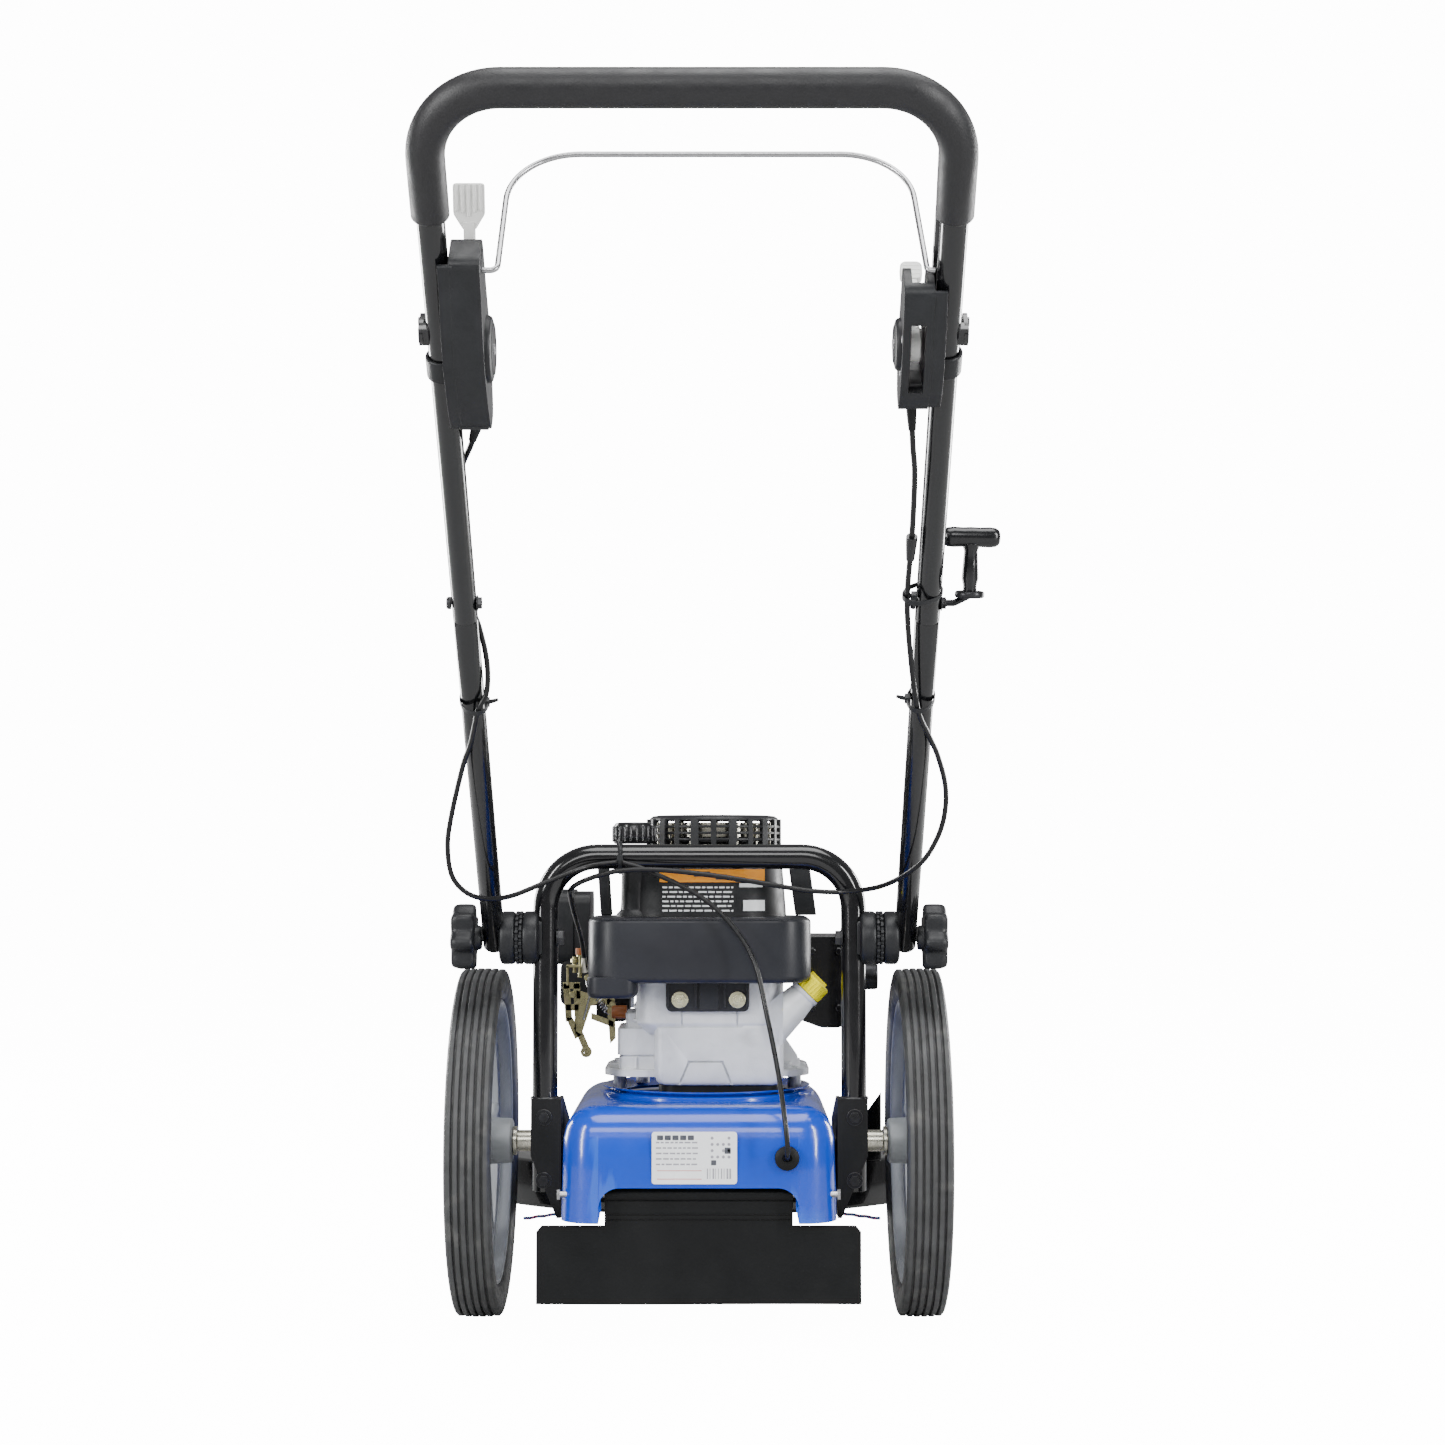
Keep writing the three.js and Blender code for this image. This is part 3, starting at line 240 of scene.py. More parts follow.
def sweep(bm, path, radius, sides=20, caps=True, flat=1.0):
    """A round bar along a path. radius is a number or one number per point."""
    points = [Vector(p) for p in path]
    radii = radius if isinstance(radius, (list, tuple)) else [radius] * len(points)
    heading = (points[1] - points[0]).normalized()
    side = heading.orthogonal().normalized()
    rings = []
    for i, point in enumerate(points):
        before = points[max(i - 1, 0)]
        after = points[min(i + 1, len(points) - 1)]
        new = (after - before).normalized()
        side = (heading.rotation_difference(new) @ side).normalized()
        heading = new
        other = heading.cross(side)
        ring = []
        for k in range(sides):
            angle = 2 * math.pi * k / sides
            offset = side * math.cos(angle) + other * math.sin(angle) * flat
            ring.append(bm.verts.new(point + offset * radii[i]))
        rings.append(ring)
    skin(bm, rings)
    if caps:
        bm.faces.new(reversed(rings[0]))
        bm.faces.new(rings[-1])


def finished(name, bm, space):
    """A mesh block from a working mesh, moved from its working frame into the scene."""
    bmesh.ops.recalc_face_normals(bm, faces=bm.faces)
    bmesh.ops.transform(bm, matrix=space, verts=bm.verts)
    mesh = bpy.data.meshes.new(name)
    bm.to_mesh(mesh)
    bm.free()
    return mesh


def add_object(name, data):
    item = bpy.data.objects.new(name, data)
    bpy.context.scene.collection.objects.link(item)
    return item


def add_moved(bm, part, matrix):
    """Adds a small working mesh to a larger one, moved by a matrix."""
    bmesh.ops.transform(part, matrix=matrix, verts=part.verts)
    copy = bpy.data.meshes.new("part")
    part.to_mesh(copy)
    part.free()
    bm.from_mesh(copy)
    bpy.data.meshes.remove(copy)


def shaped(name, bm, material, space=CHASSIS, replaces=(), bevel=0.0, steps=2, slot=None):
    """Turns a working mesh into a finished object.

    It looks up its material's usual slot, unless it names another, and an empty name means no slot. The
    slot is not used further.
    """
    item = add_object(name, finished(name, bm, space))
    item.data.materials.append(material)
    shade(item)
    if bevel:
        soften(item, bevel, steps)
    if replaces:
        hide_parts(*replaces)
    if slot is None:
        slot = USUAL_SLOTS.get(material.name)
    return item


def piece(name, bm, material, body, space=CHASSIS, replaces=(), bevel=0.0, steps=2, slot=None):
    """A finished object that rides on a body."""
    item = shaped(name, bm, material, space, replaces, bevel, steps, slot)
    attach(item, body)
    return item


def shade(item):
    """Smooth shading, broken at sharp edges."""
    item.data.shade_smooth()
    item.data.set_sharp_from_angle(angle=math.radians(SHARP_ANGLE))


def keep(node, material, bevel, steps=2):
    """A CAD node whose shape is right keeps it and gets a finished surface."""
    item = nodes[node]
    for entry in item.material_slots:
        entry.material = material
    soften(item, bevel, steps, 30, False)


def carve(item, bm, space):
    """Takes a closed working mesh out of a piece, once and for all."""
    tool = add_object("tool", finished("tool", bm, space))
    cutter = item.modifiers.new("cut", "BOOLEAN")
    cutter.object = tool
    cutter.operation = "DIFFERENCE"
    cutter.solver = "EXACT"
    bpy.context.view_layer.update()
    solved = item.evaluated_get(bpy.context.evaluated_depsgraph_get())
    baked = bpy.data.meshes.new_from_object(solved)
    item.modifiers.clear()
    item.data = baked
    shade(item)
    bpy.data.objects.remove(tool)


def soften(item, width, steps=2, angle=SHARP_ANGLE, harden=True):
    """Rounds off every edge sharper than an angle."""
    bevel = item.modifiers.new("soften", "BEVEL")
    bevel.width = width * MM
    bevel.segments = steps
    bevel.limit_method = "ANGLE"
    bevel.angle_limit = math.radians(angle)
    bevel.harden_normals = harden


def keep_flat(item):
    """Large faces stay flat beside small rounded ones."""
    flat = item.modifiers.new("flat", "WEIGHTED_NORMAL")
    flat.keep_sharp = True


def eased(points, share=0.18, steps=4):
    """An outline with its corners rounded off by a share of each side."""
    count = len(points)
    loop = []
    for i in range(count):
        here, before, after = (Vector(points[k % count]) for k in (i, i - 1, i + 1))
        start = here.lerp(before, share)
        end = here.lerp(after, share)
        for k in range(steps + 1):
            t = k / steps
            loop.append(tuple((1 - t) ** 2 * start + 2 * t * (1 - t) * here + t**2 * end))
    return loop


def loft(bm, levels, outline):
    """Stacks an outline at rising heights, each a little smaller or larger, and closes both ends."""
    rings = []
    for height, inset in levels:
        rings.append([bm.verts.new((x, y, height)) for x, y in outline(inset)])
    skin(bm, rings)
    bm.faces.new(rings[0][::-1])
    bm.faces.new(rings[-1])


def fillet(radius, steps=6):
    """(rise, inset) pairs round a quarter circle, from the outer edge inwards."""
    pairs = []
    for k in range(steps + 1):
        angle = math.radians(90 * k / steps)
        pairs.append((radius * math.sin(angle), radius * (1 - math.cos(angle))))
    return pairs


# ---------------------------------------------------------------- materials
class Surface:
    """A principled surface that starts from plain numbers and gains its detail layer by layer."""

    def __init__(self, name, colour, roughness, metallic=0.0, gloss=0.5):
        self.material = bpy.data.materials.new(name)
        self.material.use_nodes = True
        self.tree = self.material.node_tree
        self.shader = self.tree.nodes["Principled BSDF"]
        self.shader.inputs["Base Color"].default_value = (*colour, 1)
        self.shader.inputs["Roughness"].default_value = roughness
        self.shader.inputs["Metallic"].default_value = metallic
        self.shader.inputs["Specular IOR Level"].default_value = gloss
        self.colour = colour
        self.roughness = roughness
        self.normal = None
        self.coordinates = self.node("ShaderNodeTexCoord").outputs["Object"]

    def node(self, kind, **settings):
        made = self.tree.nodes.new(kind)
        for key, value in settings.items():
            setattr(made, key, value)
        return made

    def link(self, out, into):
        self.tree.links.new(out, into)

    def stretched(self, scale):
        """Coordinates scaled by a different amount each way."""
        mapping = self.node("ShaderNodeMapping")
        mapping.inputs["Scale"].default_value = scale
        self.link(self.coordinates, mapping.inputs["Vector"])
        return mapping.outputs["Vector"]

    def noise(self, scale, detail=4.0, vector=None):
        made = self.node("ShaderNodeTexNoise")
        made.inputs["Scale"].default_value = scale
        made.inputs["Detail"].default_value = detail
        self.link(vector or self.coordinates, made.inputs["Vector"])
        return made.outputs["Fac"]

    def ranged(self, value, low, high, start=0.3, end=0.7):
        made = self.node("ShaderNodeMapRange")
        made.inputs["From Min"].default_value = start
        made.inputs["From Max"].default_value = end
        made.inputs["To Min"].default_value = low
        made.inputs["To Max"].default_value = high
        self.link(value, made.inputs["Value"])
        return made.outputs["Result"]

    def mix(self, factor, first, second):
        """Mixes two colours, each given as numbers or as an output."""
        made = self.node("ShaderNodeMix", data_type="RGBA")
        self.link(factor, made.inputs["Factor"])
        for value, socket in ((first, made.inputs["A"]), (second, made.inputs["B"])):
            if isinstance(value, tuple):
                socket.default_value = (*value, 1)
            else:
                self.link(value, socket)
        return made.outputs["Result"]

    def base(self):
        socket = self.shader.inputs["Base Color"]
        return socket.links[0].from_socket if socket.is_linked else self.colour

    def mottled(self, scale, amount):
        """Uneven colour, as every real surface has."""
        darker = tuple(c * (1 - amount) for c in self.colour)
        lighter = tuple(min(c * (1 + amount), 1) for c in self.colour)
        factor = self.ranged(self.noise(scale), 0, 1)
        self.link(self.mix(factor, darker, lighter), self.shader.inputs["Base Color"])
        return self

    def stained(self, scale, colour, threshold=0.6, strength=0.5):
        """Patches of another colour, such as dust or oil."""
        factor = self.ranged(self.noise(scale, 8), 0, strength, threshold, threshold + 0.2)
        self.link(self.mix(factor, self.base(), colour), self.shader.inputs["Base Color"])
        return self

    def worn(self, colour, start=0.52, strength=0.6):
        """Lighter where the surface turns an edge."""
        pointed = self.node("ShaderNodeNewGeometry").outputs["Pointiness"]
        factor = self.ranged(pointed, 0, strength, start, start + 0.08)
        self.link(self.mix(factor, self.base(), colour), self.shader.inputs["Base Color"])
        return self

    def patchy(self, scale, amount, vector=None):
        """Roughness that varies over the surface."""
        low = max(self.roughness - amount, 0.03)
        rough = self.ranged(self.noise(scale, 5, vector), low, min(self.roughness + amount, 1))
        self.link(rough, self.shader.inputs["Roughness"])
        return self

    def raised(self, height, distance, strength=0.5):
        """Adds relief on top of whatever relief is already there."""
        bump = self.node("ShaderNodeBump")
        bump.inputs["Strength"].default_value = strength
        bump.inputs["Distance"].default_value = distance * MM
        self.link(height, bump.inputs["Height"])
        if self.normal:
            self.link(self.normal, bump.inputs["Normal"])
        self.normal = bump.outputs["Normal"]
        self.link(self.normal, self.shader.inputs["Normal"])
        return self

    def grained(self, scale, distance, strength=0.5, vector=None):
        return self.raised(self.noise(scale, 3, vector), distance, strength)

    def celled(self, scale, distance, strength=0.6):
        """The open cells of foam or the pebbles of moulded plastic."""
        cells = self.node("ShaderNodeTexVoronoi")
        cells.inputs["Scale"].default_value = scale
        self.link(self.coordinates, cells.inputs["Vector"])
        return self.raised(cells.outputs["Distance"], distance, strength)

    def coated(self, weight, roughness=0.05):
        self.shader.inputs["Coat Weight"].default_value = weight
        self.shader.inputs["Coat Roughness"].default_value = roughness
        return self

    def velvety(self, weight):
        self.shader.inputs["Sheen Weight"].default_value = weight
        self.shader.inputs["Sheen Roughness"].default_value = 0.5
        return self


def blue_enamel():
    made = Surface("blue_enamel", (0.0008, 0.045, 0.46), 0.22)
    made.mottled(9, 0.07).worn((0.05, 0.2, 0.75), 0.56, 0.25)
    made.patchy(40, 0.05).grained(160, 0.25, 0.25)
    return made.coated(0.5, 0.06).material


def black_enamel():
    made = Surface("black_enamel", (0.004, 0.0041, 0.005), 0.2, 0.0, 0.3)
    made.mottled(25, 0.2).worn((0.05, 0.05, 0.055), 0.56, 0.3)
    made.patchy(60, 0.06).grained(220, 0.15, 0.25)
    return made.coated(0.6, 0.03).material


def black_powder():
    made = Surface("black_powder_coat", (0.006, 0.0062, 0.007), 0.42, 0.0, 0.3)
    made.mottled(30, 0.25).stained(14, (0.03, 0.03, 0.029), 0.62, 0.35)
    return made.patchy(50, 0.1).grained(700, 0.12, 0.5).material


def black_plastic():
    made = Surface("black_moulded_plastic", (0.009, 0.0097, 0.0115), 0.43, 0.0, 0.35)
    made.mottled(60, 0.2).worn((0.055, 0.058, 0.062), 0.54, 0.35)
    return made.patchy(90, 0.08).celled(1400, 0.06, 0.5).material


def tank_plastic():
    made = Surface("grey_tank_plastic", (0.014, 0.015, 0.02), 0.38, 0.0, 0.35)
    made.mottled(18, 0.12).patchy(30, 0.07).celled(1800, 0.04, 0.45)
    return made.grained(30, 0.6, 0.15).material


def tyre_rubber():
    made = Surface("tyre_rubber", (0.042, 0.044, 0.045), 0.5, 0.0, 0.5)
    made.mottled(45, 0.25).stained(30, (0.16, 0.16, 0.15), 0.56, 0.5)
    return made.patchy(80, 0.12).grained(900, 0.15, 0.6).material


def soft_rubber():
    made = Surface("soft_rubber", (0.0035, 0.0037, 0.0042), 0.5, 0.0, 0.22)
    made.mottled(30, 0.2).stained(12, (0.016, 0.016, 0.016), 0.6, 0.3)
    return made.patchy(25, 0.1).grained(400, 0.12, 0.5).grained(16, 1.2, 0.25).material


def wheel_plastic():
    made = Surface("wheel_plastic", (0.33, 0.35, 0.37), 0.36)
    made.mottled(14, 0.05).stained(22, (0.18, 0.175, 0.165), 0.64, 0.3)
    return made.worn((0.6, 0.62, 0.64), 0.54, 0.3).patchy(60, 0.08).celled(1500, 0.04, 0.4).material


def foam():
    made = Surface("grip_foam", (0.0045, 0.0044, 0.006), 0.48, 0.0, 0.5)
    made.mottled(70, 0.16).patchy(60, 0.08)
    made.celled(1100, 0.14, 0.7).grained(35, 0.7, 0.22)
    return made.velvety(0.04).material


def cast_aluminium():
    made = Surface("cast_aluminium", (0.66, 0.675, 0.7), 0.46, 0.2)
    made.mottled(50, 0.08).stained(35, (0.3, 0.3, 0.3), 0.6, 0.4)
    made.worn((0.85, 0.86, 0.88), 0.53, 0.5)
    return made.patchy(90, 0.1).grained(650, 0.25, 0.6).grained(90, 0.5, 0.25).material


def zinc_plate():
    made = Surface("zinc_plate", (0.68, 0.66, 0.56), 0.28, 1.0)
    made.mottled(80, 0.12).stained(60, (0.5, 0.46, 0.3), 0.55, 0.4)
    return made.patchy(120, 0.1).grained(500, 0.05, 0.4).material


def yellow_passivated():
    made = Surface("yellow_passivated_steel", (0.4, 0.37, 0.2), 0.32, 0.85)
    made.mottled(90, 0.15).stained(120, (0.3, 0.16, 0.17), 0.56, 0.35)
    return made.patchy(120, 0.12).grained(400, 0.06, 0.4).material


def brown_insulation():
    made = Surface("brown_insulation", (0.3, 0.09, 0.02), 0.4)
    made.mottled(120, 0.2).stained(150, (0.08, 0.03, 0.01), 0.58, 0.4)
    return made.patchy(90, 0.08).grained(700, 0.08, 0.4).material


def bolt_plate():
    made = Surface("pale_plated_bolts", (0.78, 0.75, 0.52), 0.3, 0.85)
    made.mottled(120, 0.06).patchy(120, 0.08)
    return made.grained(600, 0.05, 0.35).material


def glossy_plastic():
    made = Surface("glossy_black_plastic", (0.006, 0.0064, 0.0075), 0.2, 0.0, 0.5)
    made.mottled(60, 0.2).worn((0.05, 0.052, 0.056), 0.55, 0.3)
    return made.patchy(90, 0.05).celled(1400, 0.03, 0.4).material


def bright_steel():
    made = Surface("bright_drawn_steel", (0.42, 0.42, 0.43), 0.28, 1.0)
    made.mottled(120, 0.08).stained(200, (0.4, 0.4, 0.4), 0.58, 0.3)
    return made.patchy(90, 0.08, made.stretched((4, 60, 60))).grained(300, 0.04, 0.4).material


def yellow_plastic():
    made = Surface("yellow_cap_plastic", (1.0, 0.87, 0.0), 0.5, 0.0, 0.2)
    made.mottled(60, 0.04).stained(90, (0.7, 0.6, 0.02), 0.7, 0.3)
    return made.patchy(70, 0.08).celled(1500, 0.04, 0.4).material


def pale_plastic():
    made = Surface("pale_lever_plastic", (0.84, 0.845, 0.82), 0.36)
    made.mottled(60, 0.04).stained(90, (0.6, 0.6, 0.57), 0.66, 0.25)
    return made.patchy(70, 0.08).celled(1500, 0.04, 0.4).material


def nylon():
    made = Surface("nylon_line", (0.05, 0.17, 0.5), 0.3)
    made.mottled(200, 0.15).patchy(150, 0.08).grained(900, 0.05, 0.4)
    made.shader.inputs["Subsurface Weight"].default_value = 0.2
    return made.material


def cable_jacket():
    made = Surface("cable_jacket", (0.005, 0.0052, 0.006), 0.32, 0.0, 0.35)
    made.mottled(90, 0.25).patchy(120, 0.08)
    return made.grained(800, 0.06, 0.4).material


def label_stock(name, colour):
    made = Surface(name, colour, 0.3)
    made.mottled(40, 0.03).patchy(60, 0.08).grained(300, 0.04, 0.3)
    return made.coated(0.3, 0.1).material


def dark_steel():
    made = Surface("blackened_steel", (0.02, 0.0205, 0.023), 0.34, 0.7)
    made.mottled(90, 0.2).worn((0.3, 0.3, 0.3), 0.54, 0.4)
    return made.patchy(90, 0.12).grained(500, 0.06, 0.4).material


BLUE = blue_enamel()
BLACK = black_enamel()
POWDER = black_powder()
PLASTIC = black_plastic()
TANK = tank_plastic()
TYRE = tyre_rubber()
RUBBER = soft_rubber()
RIM = wheel_plastic()
FOAM = foam()
CASTING = cast_aluminium()
ZINC = zinc_plate()
PASSIVATED = yellow_passivated()
BROWN = brown_insulation()
BOLT = bolt_plate()
GLOSSY = glossy_plastic()
STEEL = bright_steel()
YELLOW = yellow_plastic()
PALE = pale_plastic()
NYLON = nylon()
JACKET = cable_jacket()
LABEL = label_stock("label_white", (0.84, 0.86, 0.88))
LABEL_ORANGE = label_stock("label_orange", (0.9, 0.34, 0.03))
LABEL_INK = label_stock("label_ink", (0.06, 0.065, 0.08))
LABEL_GREY = label_stock("label_grey", (0.3, 0.3, 0.33))
LABEL_RED = label_stock("label_red", (0.6, 0.25, 0.24))
DARK_STEEL = dark_steel()
# Labels and insulation fill no slot.
USUAL_SLOTS = {
    BLUE.name: "blue_paint",
    BLACK.name: "black_paint",
    DARK_STEEL.name: "black_paint",
    PLASTIC.name: "black_plastic",
    GLOSSY.name: "black_plastic",
    TANK.name: "grey_plastic",
    TYRE.name: "tyre",
    RUBBER.name: "rubber",
    JACKET.name: "rubber",
    RIM.name: "rim_plastic",
    FOAM.name: "foam",
    CASTING.name: "cast_aluminium",
    ZINC.name: "zinc_plate",
    PASSIVATED.name: "yellow_plated",
    BOLT.name: "yellow_plated",
    STEEL.name: "bright_steel",
    YELLOW.name: "yellow_plastic",
    PALE.name: "pale_plastic",
    NYLON.name: "nylon_line",
}


# ---------------------------------------------------------------- stage
BACKDROP_GLOW = 14.0  # as the camera sees both the floor and the backdrop, so that they run together
ROOM_LIGHT = 0.28


def make_stage():
    bm = bmesh.new()
    block(bm, (-6000, 6000), (-3500, 9000), (-12, -0.5))
    bmesh.ops.transform(bm, matrix=CHASSIS, verts=bm.verts)
    mesh = bpy.data.meshes.new("floor")
    bm.to_mesh(mesh)
    bm.free()
    floor = add_object("floor", mesh)
    made = Surface("studio_floor", (0.5, 0.5, 0.5), 0.8)
    made.shader.inputs["Emission Color"].default_value = (1, 1, 1, 1)
    ray = made.node("ShaderNodeLightPath")
    glow = made.node("ShaderNodeMath", operation="MULTIPLY")
    glow.inputs[1].default_value = BACKDROP_GLOW
    made.link(ray.outputs["Is Camera Ray"], glow.inputs[0])
    made.link(glow.outputs["Value"], made.shader.inputs["Emission Strength"])
    floor.data.materials.append(made.mottled(0.6, 0.01).grained(20, 0.2, 0.1).material)

    world = bpy.data.worlds.new("studio")
    world.use_nodes = True
    tree = world.node_tree
    lit = tree.nodes["Background"]
    lit.inputs["Color"].default_value = (1, 1, 1, 1)
    lit.inputs["Strength"].default_value = ROOM_LIGHT
    seen = tree.nodes.new("ShaderNodeBackground")
    seen.inputs["Color"].default_value = (1, 1, 1, 1)
    seen.inputs["Strength"].default_value = BACKDROP_GLOW
    ray = tree.nodes.new("ShaderNodeLightPath")
    mix = tree.nodes.new("ShaderNodeMixShader")
    tree.links.new(ray.outputs["Is Camera Ray"], mix.inputs["Fac"])
    tree.links.new(lit.outputs["Background"], mix.inputs[1])
    tree.links.new(seen.outputs["Background"], mix.inputs[2])
    tree.links.new(mix.outputs["Shader"], tree.nodes["World Output"].inputs["Surface"])
    bpy.context.scene.world = world


def soft_light(name, spot, aim, size, power):
    data = bpy.data.lights.new(name, "AREA")
    data.shape = "RECTANGLE"
    data.size, data.size_y = size
    data.energy = power
    lamp = add_object(name, data)
    lamp.location = spot
    lamp.rotation_euler = (Vector(aim) - Vector(spot)).to_track_quat("-Z", "Y").to_euler()
    lamp.visible_camera = False


make_stage()
for end, turned in (("left", -1), ("right", 1)):
    soft_light(f"{end}_bank", (turned * 2.6, -2.1, 1.5), (0, 0, 0.5), (0.35, 2.4), 105)
    soft_light(f"{end}_rim", (turned * 2.9, 2.4, 0.9), (0, -0.2, 0.5), (0.7, 2.4), 150)
soft_light("top_bank", (0.3, -0.6, 3.2), (0, 0, 0.4), (2.4, 1.6), 80)
soft_light("rear_bank", (-0.4, -3.6, 2.2), (0, 0, 0.4), (2.4, 1.2), 62)


# ---------------------------------------------------------------- wheels
WHEEL_RADIUS = 178
WHEEL_WIDTH = 46
WHEEL_X = 225
RIM_RADIUS = 146
SPOKES = 6


def tyre_profile():
    """The tyre's section from the inner bead, out over six tread ribs and back."""
    half = WHEEL_WIDTH / 2
    ribs, groove, depth = 6, 2.6, 3.6
    tread = 2 * (half - 2.5)
    rib = (tread - groove * (ribs - 1)) / ribs
    section = [(RIM_RADIUS + 0.4, half - 7), (RIM_RADIUS + 4, half - 3), (RIM_RADIUS + 12, half - 0.6)]
    section += [(RIM_RADIUS + 20, half), (WHEEL_RADIUS - 7, half - 0.2), (WHEEL_RADIUS - 3, half - 1.2)]
    x = half - 2.5
    for i in range(ribs):
        crown = WHEEL_RADIUS - 1.6 * (abs(x - rib / 2) / half) ** 2
        section += [(crown - 0.5, x), (crown, x - 0.5), (crown, x - rib + 0.5), (crown - 0.5, x - rib)]
        x -= rib
        if i < ribs - 1:
            section += [(crown - depth, x - 0.4), (crown - depth, x - groove + 0.4)]
            x -= groove
    section += [(r, -h) for r, h in reversed(section[:6])]
    return section


def spoke_outline(width_in, width_out, near, far):
    """A spoke seen square on, with a flare where it meets the ring."""
    right = [(near, width_in / 2), (near + 18, width_in / 2 - 2), (far - 26, width_out / 2 - 3)]
    right += [(far - 10, width_out / 2 + 3), (far, width_out / 2 + 12)]
    return right + [(u, -v) for u, v in reversed(right)]


def make_wheel(name, side):
    turned_over = Matrix.Translation((side * WHEEL_X, 0, WHEEL_RADIUS)) @ Matrix.Diagonal((side, 1, 1, 1))
    space = CHASSIS @ turned_over
    body = f"wheel_{name}"
    bm = bmesh.new()
    turn(bm, tyre_profile(), "x", segments=160, closed=True)
    piece(f"ribbed_tyre_{name}", bm, TYRE, body, space, [f"tyre_{name}"])

    bm = bmesh.new()
    ring = [(RIM_RADIUS, 17), (RIM_RADIUS - 1.5, 18.5), (RIM_RADIUS - 4, 18.5), (RIM_RADIUS - 6, 16)]
    ring += [(RIM_RADIUS - 9, 5), (RIM_RADIUS - 14, 4), (RIM_RADIUS - 14, -4), (RIM_RADIUS - 9, -5)]
    ring += [(RIM_RADIUS - 6, -16), (RIM_RADIUS - 4, -18.5), (RIM_RADIUS - 1.5, -18.5), (RIM_RADIUS, -17)]
    turn(bm, ring, "x", segments=128, closed=True)
    hub = [(9, -31), (21, -31), (23, -29), (24, -8), (34, -5), (36, 0), (34, 4), (22, 7), (17, 7)]
    turn(bm, hub + [(16, 5), (16, 4), (9, 3)], "x", segments=64, closed=True)
    for i in range(SPOKES):
        part = bmesh.new()
        pull(part, spoke_outline(34, 38, 28, RIM_RADIUS - 8), -3, 3, "x")
        for edge in (-1, 1):
            rail = [(26, edge * 15), (60, edge * 13.5), (112, edge * 16), (RIM_RADIUS - 9, edge * 24)]
            sweep(part, [(0, *spot) for spot in smooth_path(rail, 6)], 4.6, 10)
        add_moved(bm, part, Matrix.Rotation(2 * math.pi * i / SPOKES, 4, "X"))
    for spot in spots_round((0, 0), 29, SPOKES, 30):
        rod(bm, "x", 2.4, 2, 6.2, spot, 16)
    piece(f"spoked_rim_{name}", bm, RIM, body, space, [f"rim_{name}"], 0.8)


def make_axle(name, side):
    space = CHASSIS @ Matrix.Translation((0, 0, WHEEL_RADIUS)) @ Matrix.Diagonal((side, 1, 1, 1))
    bm = bmesh.new()
    rod(bm, "x", 8, 126, 245.5, (0, 0))
    turn(bm, [(8, 141), (11, 141.4), (11, 189), (15, 189.6), (15, 193.4), (8, 193.6)], "x", segments=48)
    for low, high in ((141, 144), (152, 154.5)):
        turn(bm, [(11, low), (14.6, low), (14.6, high), (11, high)], "x", segments=48)
    pull(bm, hexagon(12.6), 233, 242.6, "x")
    pull(bm, hexagon(12.6), 118, 126.5, "x")
    for k in range(8):
        turn(bm, [(7.2, 242.8 + k * 0.3), (8, 242.95 + k * 0.3)], "x", segments=32)
    piece(f"axle_bolt_{name}", bm, ZINC, "chassis", space, [f"axle_{name}"], 0.5)


for name, side in SIDES:
    make_wheel(name, side)
    make_axle(name, side)


# ---------------------------------------------------------------- deck
DECK_BACK = -190
DECK_HALF = 134
DECK_TOP = 230
DECK_FRONT_TOP = 212
DECK_WIDE = 120
DECK_STEPS = 14
DECK_SHEET = 3
SPINDLE = (0, 390)
NOSE = 74
ARCH_HALF = 96.5
ARCH_TOP = 154
ARCH_CORNER = 20
ENGINE = (14, 15)
DISH = (6, 15)


def deck_plan(inset):
    """The deck seen from above as (x, y), half of it: from the middle of the back to the nose."""
    half = DECK_HALF - inset
    back = DECK_BACK + inset
    corner = 34 - inset * 0.9
    nose = NOSE - inset
    lean = math.atan2(DECK_WIDE - SPINDLE[1], half)
    lean += math.acos(nose / math.hypot(half, SPINDLE[1] - DECK_WIDE))
    points = [(x, back) for x in (0, 20, 40, 60, 74)]
    for a in range(0, 91, 10):
        points.append((ARCH_HALF - ARCH_CORNER + ARCH_CORNER * math.sin(math.radians(a)), back))
    points += [(ARCH_HALF + 0.05, back)]
    points += arc((half - corner, back + corner), corner, -90, 0, 12)[1:]
    points += [(half, y) for y in (-150, -149.9, -120, -80, -40, 0, 40, 80)]
    points += arc((half - 30, DECK_WIDE - 24), 30, 0, math.degrees(lean), 4)[1:]
    points += arc(SPINDLE, nose, math.degrees(lean), 90, 16)
    return points


def deck_foot(x, y, back):
    """How low the skirt hangs: an arch between two legs at the back, higher along the sides."""
    if y <= back + 0.01 and x <= ARCH_HALF:
        over = max(x - (ARCH_HALF - ARCH_CORNER), 0)
        return ARCH_TOP - ARCH_CORNER + math.sqrt(max(ARCH_CORNER**2 - over**2, 0))
    return 120 if y < -149.95 else 138


def deck_roof(y):
    """The top steps down from the engine bed to the nose."""
    t = min(max((y - 140) / 70, 0), 1)
    return DECK_TOP - (DECK_TOP - DECK_FRONT_TOP) * t * t * (3 - 2 * t)


